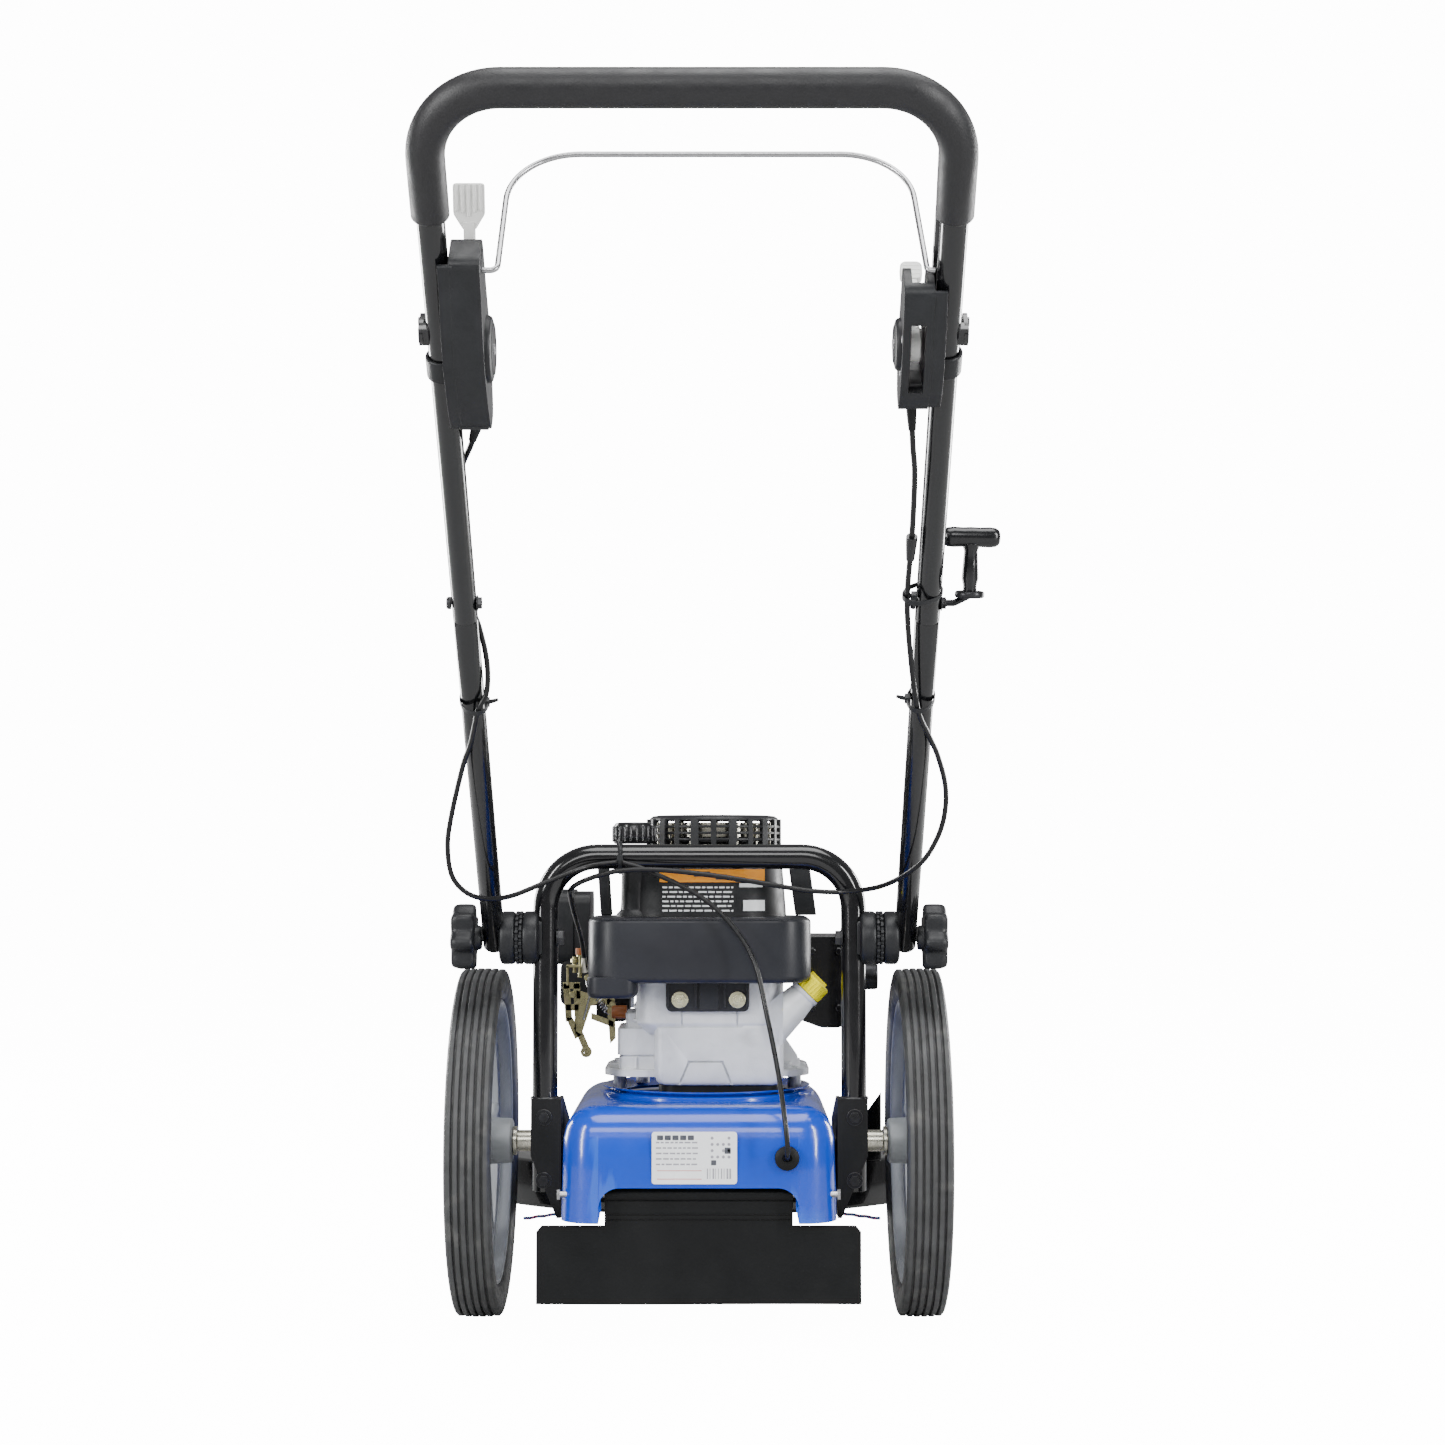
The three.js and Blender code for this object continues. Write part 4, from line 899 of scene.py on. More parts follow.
def make_deck():
    """A pressed pan: its wall rises from the foot line, then rounds over into the roof."""
    edge = 30
    heights = [("wall", share, inset) for share, inset in ((0, 0), (0.25, 0.6), (0.5, 1.3), (0.8, 2.2))]
    for rise, inset in fillet(edge, DECK_STEPS)[1:]:
        heights.append(("edge", rise, 3 + inset))
    feet = [deck_foot(x, y, DECK_BACK) for x, y in deck_plan(0)]
    bm = bmesh.new()
    rows = []
    for kind, rise, inset in heights:
        column = []
        for (x, y), foot in zip(deck_plan(inset), feet):
            shoulder = deck_roof(y) - edge
            z = foot + (shoulder - foot) * rise / 0.8 if kind == "wall" else shoulder + rise
            column.append((x, y, z))
        right = [bm.verts.new(p) for p in column]
        left = [bm.verts.new((-x, y, z)) for x, y, z in column[1:-1]]
        rows.append(right + left[::-1])
    skin(bm, rows)
    bm.faces.new(rows[-1])
    shell = piece("pressed_deck", bm, BLUE, "chassis", replaces=["deck_shell"])
    drill(shell, ((ENGINE, 48), (SPINDLE, 24.5)), 190, 260)
    thicken = shell.modifiers.new("sheet", "SOLIDIFY")
    thicken.thickness = DECK_SHEET * MM
    thicken.offset = 1 if outward(shell) < 0 else -1
    soften(shell, 0.9, 2, 50)

    bm = bmesh.new()
    wall = [(88, 228), (90, 229), (94, 229.8), (98, 231.5), (101, 233.6), (105, 235.4), (107, 236)]
    wall += [(108, 235.4), (107.6, 234.4), (104, 233.2), (101, 231.4), (99, 229.8), (98, 227)]
    turn(bm, wall, "z", DISH, 128, closed=True)
    turn(bm, [(112, 224), (112, 229.5), (110, 231), (98, 231.6), (98, 224)], "z", DISH, 128)
    piece("deck_dish", bm, BLUE, "chassis")


def outward(item):
    """Positive when the faces of the deck's top point up."""
    top = max(item.data.polygons, key=lambda face: face.center.z)
    return top.normal.z


def drill(item, holes, low, high):
    """Cuts round holes down through a sheet."""
    bm = bmesh.new()
    for centre, radius in holes:
        rod(bm, "z", radius, low, high, centre, 64)
    carve(item, bm, CHASSIS)


make_deck()


# ---------------------------------------------------------------- hoop frame, shield and flap
HOOP_X, HOOP_Y, HOOP_TUBE = 154, -100, 12.5
FLAP_Y, FLAP_HALF, FLAP_NECK_HALF = -172, 157, 91


def make_hoop():
    bm = bmesh.new()
    foot, crown = 140, 472
    corners = [(-HOOP_X, HOOP_Y, foot), (-HOOP_X, HOOP_Y, crown)]
    corners += [(HOOP_X, HOOP_Y, crown), (HOOP_X, HOOP_Y, foot)]
    sweep(bm, bent(corners, 52, 14), HOOP_TUBE, 32)
    piece("hoop_frame", bm, BLACK, "chassis", replaces=["hoop_tube"], bevel=0.8)
    for name, side in SIDES:
        bm = bmesh.new()
        for z in (152, 214):
            spot = (side * HOOP_X, z)
            rod(bm, "y", 5.5, -119.5, -116.6, spot, 6)
            turn(bm, [(0, -117.6), (8, -117.6), (8, -117), (0, -117)], "y", spot, 32)
        weld = arc((side * HOOP_X, HOOP_Y), HOOP_TUBE + 0.1, -180, 90, 18)
        sweep(bm, [(x, y, 231.5) for x, y in weld], 2.2, 10)
        piece(f"bracket_bolts_{name}", bm, DARK_STEEL, "chassis", bevel=0.4)
        keep(f"hoop_bracket_{name}", POWDER, 1.2, 3)


def half_disc(radius, lift, steps=60):
    return arc(SPINDLE, radius, 180 - lift, 360 + lift, steps)


def make_shield():
    radius, top, foot, thick, front = 289.5, 137.4, 87, 2.8, 424
    lift = math.degrees(math.asin((front - SPINDLE[1]) / radius))
    bm = bmesh.new()
    rows = []
    lip = ((40, top), (8, top), (4, top - 0.4), (1.2, top - 2), (0.2, top - 5), (0, foot + 4), (0, foot))
    for inset, height in lip:
        rows.append([bm.verts.new((x, y, height)) for x, y in half_disc(radius - inset, lift)])
    skin(bm, rows, closed=False)
    bm.faces.new(rows[0])
    item = piece("cutting_shield", bm, BLACK, "chassis", replaces=["trimmer_shield"])
    drill(item, ((SPINDLE, 32),), 120, 150)
    thicken = item.modifiers.new("sheet", "SOLIDIFY")
    thicken.thickness = thick * MM
    thicken.offset = -1

    ear = bmesh.new()
    wall = []
    for x, z in ((142, 150), (171, 177), (199, 211), (199, 136), (142, 136)):
        wall.append((x, SPINDLE[1] - math.sqrt(radius**2 - x**2), z))
    outer = [ear.verts.new(p) for p in wall]
    inner = [ear.verts.new((x, y + thick * 1.25, z)) for x, y, z in wall]
    ear.faces.new(outer)
    ear.faces.new(inner[::-1])
    skin(ear, [outer, inner])
    piece("shield_ear", ear, BLACK, "chassis", bevel=0.8)
    keep("belt_guard", POWDER, 0.8)


def make_flap():
    """A rubber sheet with a neck between the deck's legs. It bows a little, as hanging rubber does."""
    bm = bmesh.new()
    columns, rows = 64, 30
    thick, foot, neck, top, corner = 5, 41, 116, 146, 6
    grid = {}
    for face, offset in (("back", -thick / 2), ("front", thick / 2)):
        for i in range(columns + 1):
            for j in range(rows + 1):
                x = FLAP_HALF * (2 * i / columns - 1)
                z = foot + (neck - foot) * j / rows
                over = max(abs(x) - FLAP_HALF + corner, 0)
                if z > neck - corner and over:
                    rise = math.sqrt(max(corner**2 - over**2, 0))
                    z = neck - corner + min(z - neck + corner, rise)
                bow = 1.6 * math.sin(x / 47) * (1 - (z - foot) / (top - foot)) - 1.4 * math.cos(x / 160)
                y = FLAP_Y + offset + bow * (neck - z) / (neck - foot)
                grid[face, i, j] = bm.verts.new((x, y, z))
    for face in ("back", "front"):
        for i in range(columns):
            for j in range(rows):
                corners = ((i, j), (i + 1, j), (i + 1, j + 1), (i, j + 1))
                bm.faces.new([grid[face, u, v] for u, v in corners])
    for i in range(columns):
        for j in (0, rows):
            corners = (("back", i), ("back", i + 1), ("front", i + 1), ("front", i))
            bm.faces.new([grid[face, u, j] for face, u in corners])
    for j in range(rows):
        for i in (0, columns):
            corners = (("back", j), ("back", j + 1), ("front", j + 1), ("front", j))
            bm.faces.new([grid[face, i, v] for face, v in corners])
    neck_plan = rounded((-FLAP_NECK_HALF, FLAP_NECK_HALF), (neck - 4, top), 3, 3)
    pull(bm, neck_plan, FLAP_Y - thick / 2, FLAP_Y + thick / 2, "y")
    rod(bm, "x", 7, -FLAP_NECK_HALF, FLAP_NECK_HALF, (FLAP_Y, top), 32)
    for z in (121, 126):
        block(bm, (-88, 88), (FLAP_Y - 3.4, FLAP_Y - 2), (z, z + 1.4))
    piece("rubber_flap", bm, RUBBER, "rear_flap", replaces=["rear_flap"], bevel=1.0)
    keep("flap_rod", STEEL, 0.3)


make_hoop()
make_shield()
make_flap()


# ---------------------------------------------------------------- rating plate and grommet
def printed(bm, x, z, width, height, face):
    """A flat bar on the rating plate."""
    pull(bm, [(x, z), (x + width, z), (x + width, z + height), (x, z + height)], *face, "y")


def make_plate():
    face = DECK_BACK - 0.15
    ink_face = (face - 0.62, face - 0.5)
    bm = bmesh.new()
    pull(bm, rounded((-45, 37), (158, 208), 3), face - 0.5, face, "y")
    piece("rating_plate", bm, LABEL, "chassis", bevel=0.15)
    heading = bmesh.new()
    blocks = [((-40 + k * 7.4, -34 + k * 7.4), (200, 204.6)) for k in range(5)]
    for x, z in blocks + [((12, 17), (176, 181)), ((25, 31), (187, 193))]:
        pull(heading, rounded(x, z, 0.6, 2), *ink_face, "y")
    piece("plate_heading", heading, LABEL_INK, "chassis")

    ink = bmesh.new()
    dice = random.Random(4)
    for row in range(5):
        x = -41.0
        while x < -2:
            width = dice.uniform(2.5, 6)
            printed(ink, x, 197 - row * 5.2, width, 1.5, ink_face)
            x += width + 1.3
    for row in range(4):
        for column in range(4):
            if dice.random() < 0.75:
                pull(ink, spots_round((13 + column * 5.4, 202 - row * 6), 1.5, 10), *ink_face, "y")
    for k in range(9):
        printed(ink, 8 + k * 2.7, 163, dice.choice((0.6, 1.1, 1.6)), 10, ink_face)
    piece("plate_marks", ink, LABEL_GREY, "chassis")
    red = bmesh.new()
    for z in (162.5, 170.5):
        printed(red, -40, z, 43, 0.8, ink_face)
    piece("plate_rules", red, LABEL_RED, "chassis")


def make_grommet():
    bm = bmesh.new()
    section = [(3.4, -196), (5, -197), (8.5, -196.6), (11.4, -195), (12, -192.5), (11.6, -190.4)]
    section += [(8.6, -190.2), (8.6, -186.8), (10.5, -186.4), (10.5, -184.5), (8, -183.5), (3.4, -184)]
    turn(bm, section, "y", (85, 183), 64, closed=True)
    piece("cable_grommet", bm, RUBBER, "chassis", replaces=["deck_grommet"])


make_plate()
make_grommet()


# ---------------------------------------------------------------- engine
FILLER = Matrix.Translation((78, -74, 306)) @ Matrix.Rotation(math.radians(45), 4, "Y")
TANK_MOUTH = (-67, -45)
CASE_BACK = -72.7
CASE_STEP = 299


def panel_frame():
    """The three sides of the trapezoid pressed into the case's back, as thin bars."""
    corners = [Vector(p) for p in ((-22, 238), (-11, 265), (23, 265), (34, 238))]
    bars = []
    for start, end in zip(corners, corners[1:]):
        along = (end - start).normalized()
        out = Vector((along.y, -along.x)) * 1.1
        reach = along * 1.1
        bars.append([start - reach - out, end + reach - out, end + reach + out, start - reach + out])
    return bars


def make_crankcase():
    """A cast body with a flat, grooved back. It is narrower on its left below a step."""
    bm = bmesh.new()

    def lower(inset):
        return rounded((-46 + inset, 85 - inset), (CASE_BACK + inset * 0.5, 78 - inset), 9, 8)

    def upper(inset):
        return rounded((-65 + inset, 85 - inset), (CASE_BACK + inset * 0.5, 78 - inset), 20, 10)

    loft(bm, [(241, 9), (242.4, 5), (245, 2.4), (249, 1), (254, 0), (CASE_STEP, 0)], lower)
    body = piece("engine_crankcase", bm, CASTING, "chassis", replaces=["crankcase"])
    for bar in panel_frame():
        groove = bmesh.new()
        pull(groove, bar, CASE_BACK - 2, CASE_BACK + 3.5, "y")
        carve(body, groove, CHASSIS)
    soften(body, 0.5, 2)
    keep_flat(body)

    bm = bmesh.new()
    loft(bm, [(CASE_STEP - 7, 12), (CASE_STEP + 3, 1), (CASE_STEP + 6, 0), (345, 0)], upper)
    cap = piece("crankcase_upper", bm, CASTING, "chassis")
    for x in (-18, 38):
        slit = bmesh.new()
        block(slit, (x - 0.9, x + 0.9), (CASE_BACK - 2, CASE_BACK + 2), (280, 320))
        carve(cap, slit, CHASSIS)
    soften(cap, 0.5, 2)
    keep_flat(cap)


def make_case_sides():
    """The stepped box on the left, the flange with its studs, the web on the right, and a dark sheet of
    painted shadow under the case.
    """
    bm = bmesh.new()
    pull(bm, rounded((-84, -40), (-52, 40), 5), 270.5, 297)
    pull(bm, rounded((-82.5, -40), (-50.5, 40), 5), 256, 268.5)
    pull(bm, rounded((-80, -40), (-49, 40), 4), 268, 271)
    pull(bm, rounded((-76, -50), (-46, 40), 5), 296, 312)
    block(bm, (-66.5, -64.5), (-52.6, -49), (257, 268))
    for z in (305, 318, 331):
        pull(bm, rounded((-68, -40), (-66, 60), 16, 6), z, z + 2.2)
    pull(bm, [(84, 256), (103, 256), (100, 268), (85, 290)], -20, -14, "y")
    pull(bm, rounded((-98, 112), (-62, 92), 40, 12), 249, 255)
    pull(bm, rounded((-96, 110), (-60, 90), 38, 12), 255, 256)
    for x, y in ((-84, 15), (98, 15), (-70, -40), (88, -34), (-62, 78), (78, 78)):
        turn(bm, [(0, 248), (11, 248), (12, 249), (12, 257), (11, 258), (0, 258)], "z", (x, y), 40)
        pull(bm, hexagon(6, (x, y)), 257.5, 262)
    for x, y in ((-84, 15), (98, 15), (-62, 78)):
        rod(bm, "z", 7, 231, 249, (x, y), 32)
    # A dark rubber sheet under the case's foot. It is painted shadow, standing in for the shade in the
    # gap between the casting and the deck.
    shadow_sheet = bmesh.new()
    pull(shadow_sheet, rounded((-42, 82), (-66, 72), 20, 8), 230, 241)
    piece("engine_shadow_sheet", shadow_sheet, RUBBER, "chassis", bevel=0.6, slot="")
    piece("crankcase_sides", bm, CASTING, "chassis", bevel=1.1, steps=3)


def make_filler_neck():
    bm = bmesh.new()
    section = [(0, -34), (21, -34), (19.5, -6), (17.6, 20), (15, 37), (16.2, 38.6), (16.2, 41.6)]
    turn(bm, section + [(0, 41.6)], "z")
    neck = piece("oil_filler_neck", bm, CASTING, "chassis", CHASSIS @ FILLER)
    behind = bmesh.new()
    block(behind, (0, 84), (-130, CASE_BACK + 0.8), (220, 380))
    carve(neck, behind, CHASSIS)


def make_oil_cap():
    bm = bmesh.new()
    turn(bm, [(0, 42.2), (14.6, 42.2), (15.2, 43), (15.2, 57), (14, 58.4), (0, 58.4)], "z", segments=64)
    for spot in spots_round((0, 0), 15.1, 28):
        rod(bm, "z", 0.8, 43.6, 56.4, spot, 8)
    block(bm, (-10, 10), (-1.8, 1.8), (58, 61.4))
    rod(bm, "z", 4.5, 12, 43, (0, 0), 16)
    space = CHASSIS @ FILLER
    piece("dipstick_cap", bm, YELLOW, "oil_cap", space, ["oil_cap"], 0.5)


def make_tank():
    bm = bmesh.new()

    def outline(inset):
        return rounded((-112 + inset, 112 - inset), (-118 + inset, 22 - inset), 34 - inset * 0.7, 12)

    low, high = 346, 411
    levels = [(low + 7 - rise, inset) for rise, inset in reversed(fillet(7))]
    levels += [(high - 5 + rise, inset) for rise, inset in fillet(5)]
    loft(bm, levels, outline)
    lobe_levels = [(331 + 6 - rise, inset) for rise, inset in reversed(fillet(6))] + [(352, 0)]

    def lobe(inset):
        return rounded((-112 + inset, -62 - inset), (-117.6 + inset, -60 - inset), 13 - inset * 0.6)

    loft(bm, lobe_levels, lobe)
    block(bm, (-96, 90), (-118.7, -117.5), (409.2, 410.6))
    # The lug plate that two bolts hold to the engine, with ribs between them.
    pull(bm, rounded((-34, 50), (316, 352), 6), -80, -72, "y")
    block(bm, (0, 19), (-83, -79), (317, 350))
    for x in (-33, -5, 24, 47):
        block(bm, (x, x + 2.2), (-82.4, -79), (320, 350))
    piece("fuel_tank_shell", bm, TANK, "chassis", replaces=["fuel_tank"], bevel=1.2, steps=3)
    bolts = bmesh.new()
    for x in (-20, 38):
        turn(bolts, [(0, -82), (8.4, -82), (8.6, -80), (0, -80)], "y", (x, 328), 48)
        pull(bolts, hexagon(5.8, (x, 328)), -86.6, -82, "y")
        turn(bolts, [(0, -87.6), (2.6, -87.4), (2.8, -86.4), (0, -86.4)], "y", (x, 328), 32)
    piece("tank_bolts", bolts, BOLT, "chassis", bevel=0.5)
    neck = bmesh.new()
    section = [(0, 409), (20, 409), (18, 414), (14, 418), (13, 470), (15, 474), (15, 484), (0, 484)]
    turn(neck, section, "z", TANK_MOUTH)
    piece("tank_neck", neck, PLASTIC, "chassis", bevel=0.5)


def make_fuel_cap():
    bm = bmesh.new()
    side = [(0, 485), (20.6, 485), (21.6, 486.5), (21.6, 503), (20, 506), (16, 507), (0, 507.4)]
    turn(bm, side, "z", TANK_MOUTH, 96)
    for spot in spots_round(TANK_MOUTH, 21.6, 22):
        turn(bm, [(0, 487), (1.6, 487.4), (1.6, 502), (0, 504)], "z", spot, 12)
    turn(bm, [(0, 507.2), (11, 507.2), (12.4, 506.4), (0, 506)], "z", TANK_MOUTH)
    piece("ribbed_fuel_cap", bm, GLOSSY, "fuel_cap", CHASSIS, ["fuel_cap"], 0.3, slot="grey_plastic")


def make_shroud():
    bm = bmesh.new()

    def outline(inset):
        return rounded((-84 + inset, 90 - inset), (-72 + inset, 100 - inset), 58 - inset, 14)

    levels = [(350, 0), (400, 0), (440, 3), (462, 5)]
    levels += [(462 + rise, 5 + inset) for rise, inset in fillet(8)[1:]]
    loft(bm, levels, outline)
    pull(bm, rounded((-50, 78), (90, 190), 10), 404, 448)
    for k in range(6):
        block(bm, (-40 + k * 20, -36 + k * 20), (110, 186), (447, 449.5))
    # The two posts that tie the shroud to the tank.
    for points in (
        [(-104, 411), (-92, 411), (-96, 470), (-108, 470)],
        [(99, 411), (121, 411), (113, 470), (91, 470)],
    ):
        pull(bm, points, 2, 14, "y")
    for x in ((-106, -70), (70, 113)):
        pull(bm, rounded(x, (463, 470), 2, 3), 2, 14, "y")
    piece("cooling_shroud", bm, PLASTIC, "chassis", replaces=["blower_housing"], bevel=1.6, steps=3)
    for x, y in ((-60, -30), (66, -32), (-52, 84), (72, 84)):
        screw = bmesh.new()
        turn(screw, [(0, 469), (6, 469), (6.4, 471.4), (5, 473), (0, 473)], "z", (x, y), 32)
        piece(f"shroud_screw_{x}_{y}".replace("-", "m"), screw, STEEL, "chassis", bevel=0.3, slot="")


def shroud_label(x, z, lift):
    """A point of the label, laid on the shroud's back face."""
    corner = 53
    lean = 0.075 * max(z - 400, 0)
    left, right = -84 + lean, 90 - lean
    over = max(left + corner - x, x - right + corner, 0)
    sink = corner - math.sqrt(max(corner**2 - over**2, 0))
    return (x, -72 + lean + sink - lift, z)


def label_patch(bm, x0, x1, z0, z1, lift, slant=0.0, steps=10):
    rows = []
    for j in range(3):
        z = z0 + (z1 - z0) * j / 2
        row = []
        for i in range(steps + 1):
            x = x0 + (x1 - x0) * i / steps - slant * (z - z0)
            row.append(bm.verts.new(shroud_label(x, z, lift)))
        rows.append(row)
    skin(bm, rows, closed=False)


def make_shroud_label():
    bm = bmesh.new()
    label_patch(bm, -41, 66, 446, 459, 0.5, steps=16)
    piece("label_band", bm, LABEL_ORANGE, "chassis")
    dice = random.Random(7)
    ink = bmesh.new()
    for x0, x1, z in ((-16, 10, 456), (-6, 28, 453), (16, 46, 450), (36, 44, 447.5)):
        label_patch(ink, x0, x1, z - 1.2, z + 0.9, 0.7, steps=6)
    piece("label_band_marks", ink, LABEL_INK, "chassis")
    words = bmesh.new()
    for row in range(6):
        z = 440 - row * 4.7
        x = -38.0
        while x < 32:
            width = dice.uniform(3, 9)
            label_patch(words, x, min(x + width, 34), z, z + 1.7, 0.5, steps=3)
            x += width + 1.6
    label_patch(words, 44, 66, 417, 428, 0.5, steps=6)
    label_patch(words, 40, 64, 441, 445, 0.5, steps=6)
    piece("label_lines", words, LABEL, "chassis")


def make_recoil():
    """A vented cage over the starter pulley: rows of slots between posts."""
    bm = bmesh.new()
    radius, low, high = 70, 470.4, 515
    lid = [(0, high), (58, high), (64, high - 0.8), (67, high - 3), (68, high - 5.5)]
    lid += [(64, high - 5.5), (0, high - 4)]
    turn(bm, lid, "z", ENGINE, 128)
    foot = [(radius - 4, low), (radius + 3, low), (radius + 3, low + 3), (radius, low + 6)]
    foot.append((radius - 3, low + 6))
    turn(bm, foot, "z", ENGINE, 128, closed=True)
    posts, rows = 22, 4
    for k in range(rows):
        z = low + 11.5 + k * 6.6
        band = [(radius - 2.6, z), (radius, z), (radius, z + 2.6), (radius - 2.6, z + 2.6)]
        turn(bm, band, "z", ENGINE, 128, closed=True)
    for k in range(posts):
        part = bmesh.new()
        wide = 4.4 if k % 2 else 2.8
        block(part, (radius - 4, radius + 0.6), (-wide, wide), (low + 3, high - 4))
        spin = Matrix.Rotation(2 * math.pi * (k + 0.5) / posts, 4, "Z")
        add_moved(bm, part, Matrix.Translation((*ENGINE, 0)) @ spin)
    for spot in spots_round(ENGINE, 76, 3, 10):
        boss = [(4, low), (9, low), (9, low + 9), (7.6, low + 10.4), (4, low + 10.4)]
        turn(bm, boss, "z", spot, 40, closed=True)
    piece("recoil_cage", bm, PLASTIC, "chassis", CHASSIS, ["recoil_cover"], 0.5)
    liner = bmesh.new()
    for inner, outer, top in ((low + 21, low + 22, high - 8), (low + 8, low + 8, low + 9.4)):
        ring = [(57.5, inner), (60, outer), (60, top), (57.5, top)]
        turn(liner, ring, "z", ENGINE, 96, closed=True)
    for spot in spots_round(ENGINE, 62, 16):
        rod(liner, "z", 1.6, low + 9, high - 8, spot, 10)
    piece("recoil_screen", liner, ZINC, "chassis", slot="bright_steel")


make_crankcase()
make_case_sides()
make_filler_neck()
make_oil_cap()
make_tank()
make_fuel_cap()
make_shroud()
make_shroud_label()
make_recoil()
keep("recoil_pulley", PLASTIC, 0.8)
keep("flywheel", CASTING, 0.6)
keep("crankshaft", STEEL, 0.4)
keep("cylinder_block", CASTING, 0.4)
keep("cylinder_head", CASTING, 0.6)
keep("spark_plug", RUBBER, 0.6)
keep("carburettor", CASTING, 0.6)
keep("throttle_arm", PASSIVATED, 0.3)


# ---------------------------------------------------------------- muffler, air filter and linkage
def make_muffler():
    bm = bmesh.new()
    outline = [(104, 300), (128, 291), (148, 291), (158, 304), (158, 388), (104, 388)]
    can = eased(outline, 0.22, 6)
    pull(bm, can, 46, 132, "y")
    middle_x, middle_z = 131, 340
    for y in (60, 112):
        seam = [(middle_x + (x - middle_x) * 1.03, middle_z + (z - middle_z) * 1.02) for x, z in can]
        pull(bm, seam, y, y + 3, "y")
    pull(bm, rounded((72, 106), (338, 362), 3), 112, 128, "y")
    for spot in ((118, 312), (146, 312), (118, 372), (146, 372)):
        pull(bm, hexagon(4.4, spot), 42.6, 47, "y")
    piece("muffler_can", bm, BLACK, "chassis", CHASSIS, ["muffler"], 3.0, 3)
    bm = bmesh.new()
    outlet = (85, 344)
    section = [(0, 158), (14.6, 158), (14.6, 187), (13.6, 189.4), (11.4, 189.4), (10.8, 187)]
    section += [(10.8, 170), (0, 170)]
    turn(bm, section, "x", outlet, 48)
    turn(bm, [(15, 160), (17.6, 160), (17.6, 164), (15, 164)], "x", outlet, 48, closed=True)
    piece("muffler_outlet", bm, DARK_STEEL, "chassis", bevel=0.4)


def make_air_filter():
    bm = bmesh.new()

    def side(inset):
        return rounded((80 + inset, 168 - inset), (356 + inset, 436 - inset), 14 - inset * 0.6, 8)

    rings = [(-119, 2), (-137, 2), (-137, 0)] + [(-158 - rise, inset) for rise, inset in fillet(8)]
    rows = []
    for x, inset in rings:
        rows.append([bm.verts.new((x, y, z)) for y, z in side(inset)])
    skin(bm, rows)
    bm.faces.new(rows[0][::-1])
    bm.faces.new(rows[-1])
    for k in range(5):
        block(bm, (-167.2, -160), (92 + k * 14, 95 + k * 14), (366, 384))
    knob = (124, 396)
    turn(bm, [(0, -178), (10, -178), (11, -176.5), (11, -165), (0, -165)], "x", knob, 40)
    for spot in spots_round(knob, 11, 12):
        rod(bm, "x", 1.5, -177, -168, spot, 8)
    pull(bm, rounded((-151, -104), (312, 360), 8), 84, 120, "y")
    pull(bm, rounded((-112, -76), (296, 346), 8), 70, 110, "y")
    piece("air_box", bm, PLASTIC, "chassis", replaces=["air_filter"], bevel=0.7)


def coil(bm, start, end, radius, wire_radius, turns):
    """A spring drawn between two points, with a straight tail at each end."""
    start, end = Vector(start), Vector(end)
    along = end - start
    side = along.orthogonal().normalized()
    other = along.normalized().cross(side)
    path = [start - along * 0.18]
    steps = turns * 14
    for k in range(steps + 1):
        angle = 2 * math.pi * turns * k / steps
        out = side * math.cos(angle) + other * math.sin(angle)
        path.append(start + along * k / steps + out * radius)
    path.append(end + along * 0.18)
    sweep(bm, path, wire_radius, 8)


def make_bracket():
    """The control bracket: thin plated strips with windows between them, and a screw stop."""
    bm = bmesh.new()
    ladder = (
        [(-146, 338), (-139, 338), (-136, 300), (-143, 297)],
        [(-135, 338), (-128, 338), (-125, 290), (-133, 283)],
        [(-146, 339), (-128, 339), (-128, 332), (-146, 332)],
        [(-143, 316), (-128, 316), (-128, 309), (-143, 309)],
        [(-143, 302), (-136, 302), (-125, 284), (-133, 279)],
    )
    arms = (
        [(-135, 292), (-127, 292), (-116, 266), (-122, 262)],
        [(-132, 322), (-94, 314), (-94, 321), (-132, 331)],
        [(-100, 322), (-91, 322), (-90, 280), (-96, 274)],
        [(-116, 300), (-92, 291), (-92, 298), (-116, 307)],
    )
    for outline in ladder + arms:
        pull(bm, outline, 47, 49.4, "y")
    block(bm, (-142, -124), (40, 62), (355, 357.4))
    block(bm, (-142, -139.6), (40, 50), (336, 357))
    block(bm, (-100, -84), (48, 76), (326, 328.4))
    turn(bm, [(2.6, 44), (6, 44), (6, 46.4), (2.6, 46.4)], "y", (-121, 266), 24, closed=True)
    piece("plated_bracket", bm, PASSIVATED, "chassis", replaces=["control_bracket"], bevel=0.3)


def make_linkage():
    """Small links, springs and screws beside the carburettor."""
    bm = bmesh.new()
    coil(bm, (-118, 41, 336), (-100, 42, 310), 3.0, 0.7, 11)
    coil(bm, (-104, 40, 352), (-88, 60, 344), 2.6, 0.6, 9)
    link = [(-124, 41.5, 300), (-116, 40, 330), (-92, 64, 352), (-80, 108, 356)]
    sweep(bm, bent(link, [8, 8], 6), 1.0, 10)
    piece("governor_links", bm, STEEL, "chassis", bevel=0)
    bm = bmesh.new()
    for x, z in ((-93.5, 316), (-136, 326), (-120, 344)):
        turn(bm, [(0, 43.6), (3.0, 43.6), (3.6, 45), (3.6, 47.8), (0, 47.8)], "y", (x, z), 24)
    for x, low, high in ((-128, 344, 372), (-134, 349, 366)):
        rod(bm, "z", 2.2, low, high, (x, 46), 20)
        pull(bm, hexagon(4, (x, 46)), high - 6, high - 2.5)
    piece("bracket_screws", bm, PASSIVATED, "chassis", bevel=0.3)
    bm = bmesh.new()
    turn(bm, [(0, -94), (6, -94), (7, -92), (7, -78), (0, -78)], "x", (44, 308), 32)
    turn(bm, [(3, 368), (4.6, 368), (4.6, 375), (3, 375)], "z", (-128, 46), 24, closed=True)
    piece("stop_solenoid", bm, BROWN, "chassis", bevel=0.4)


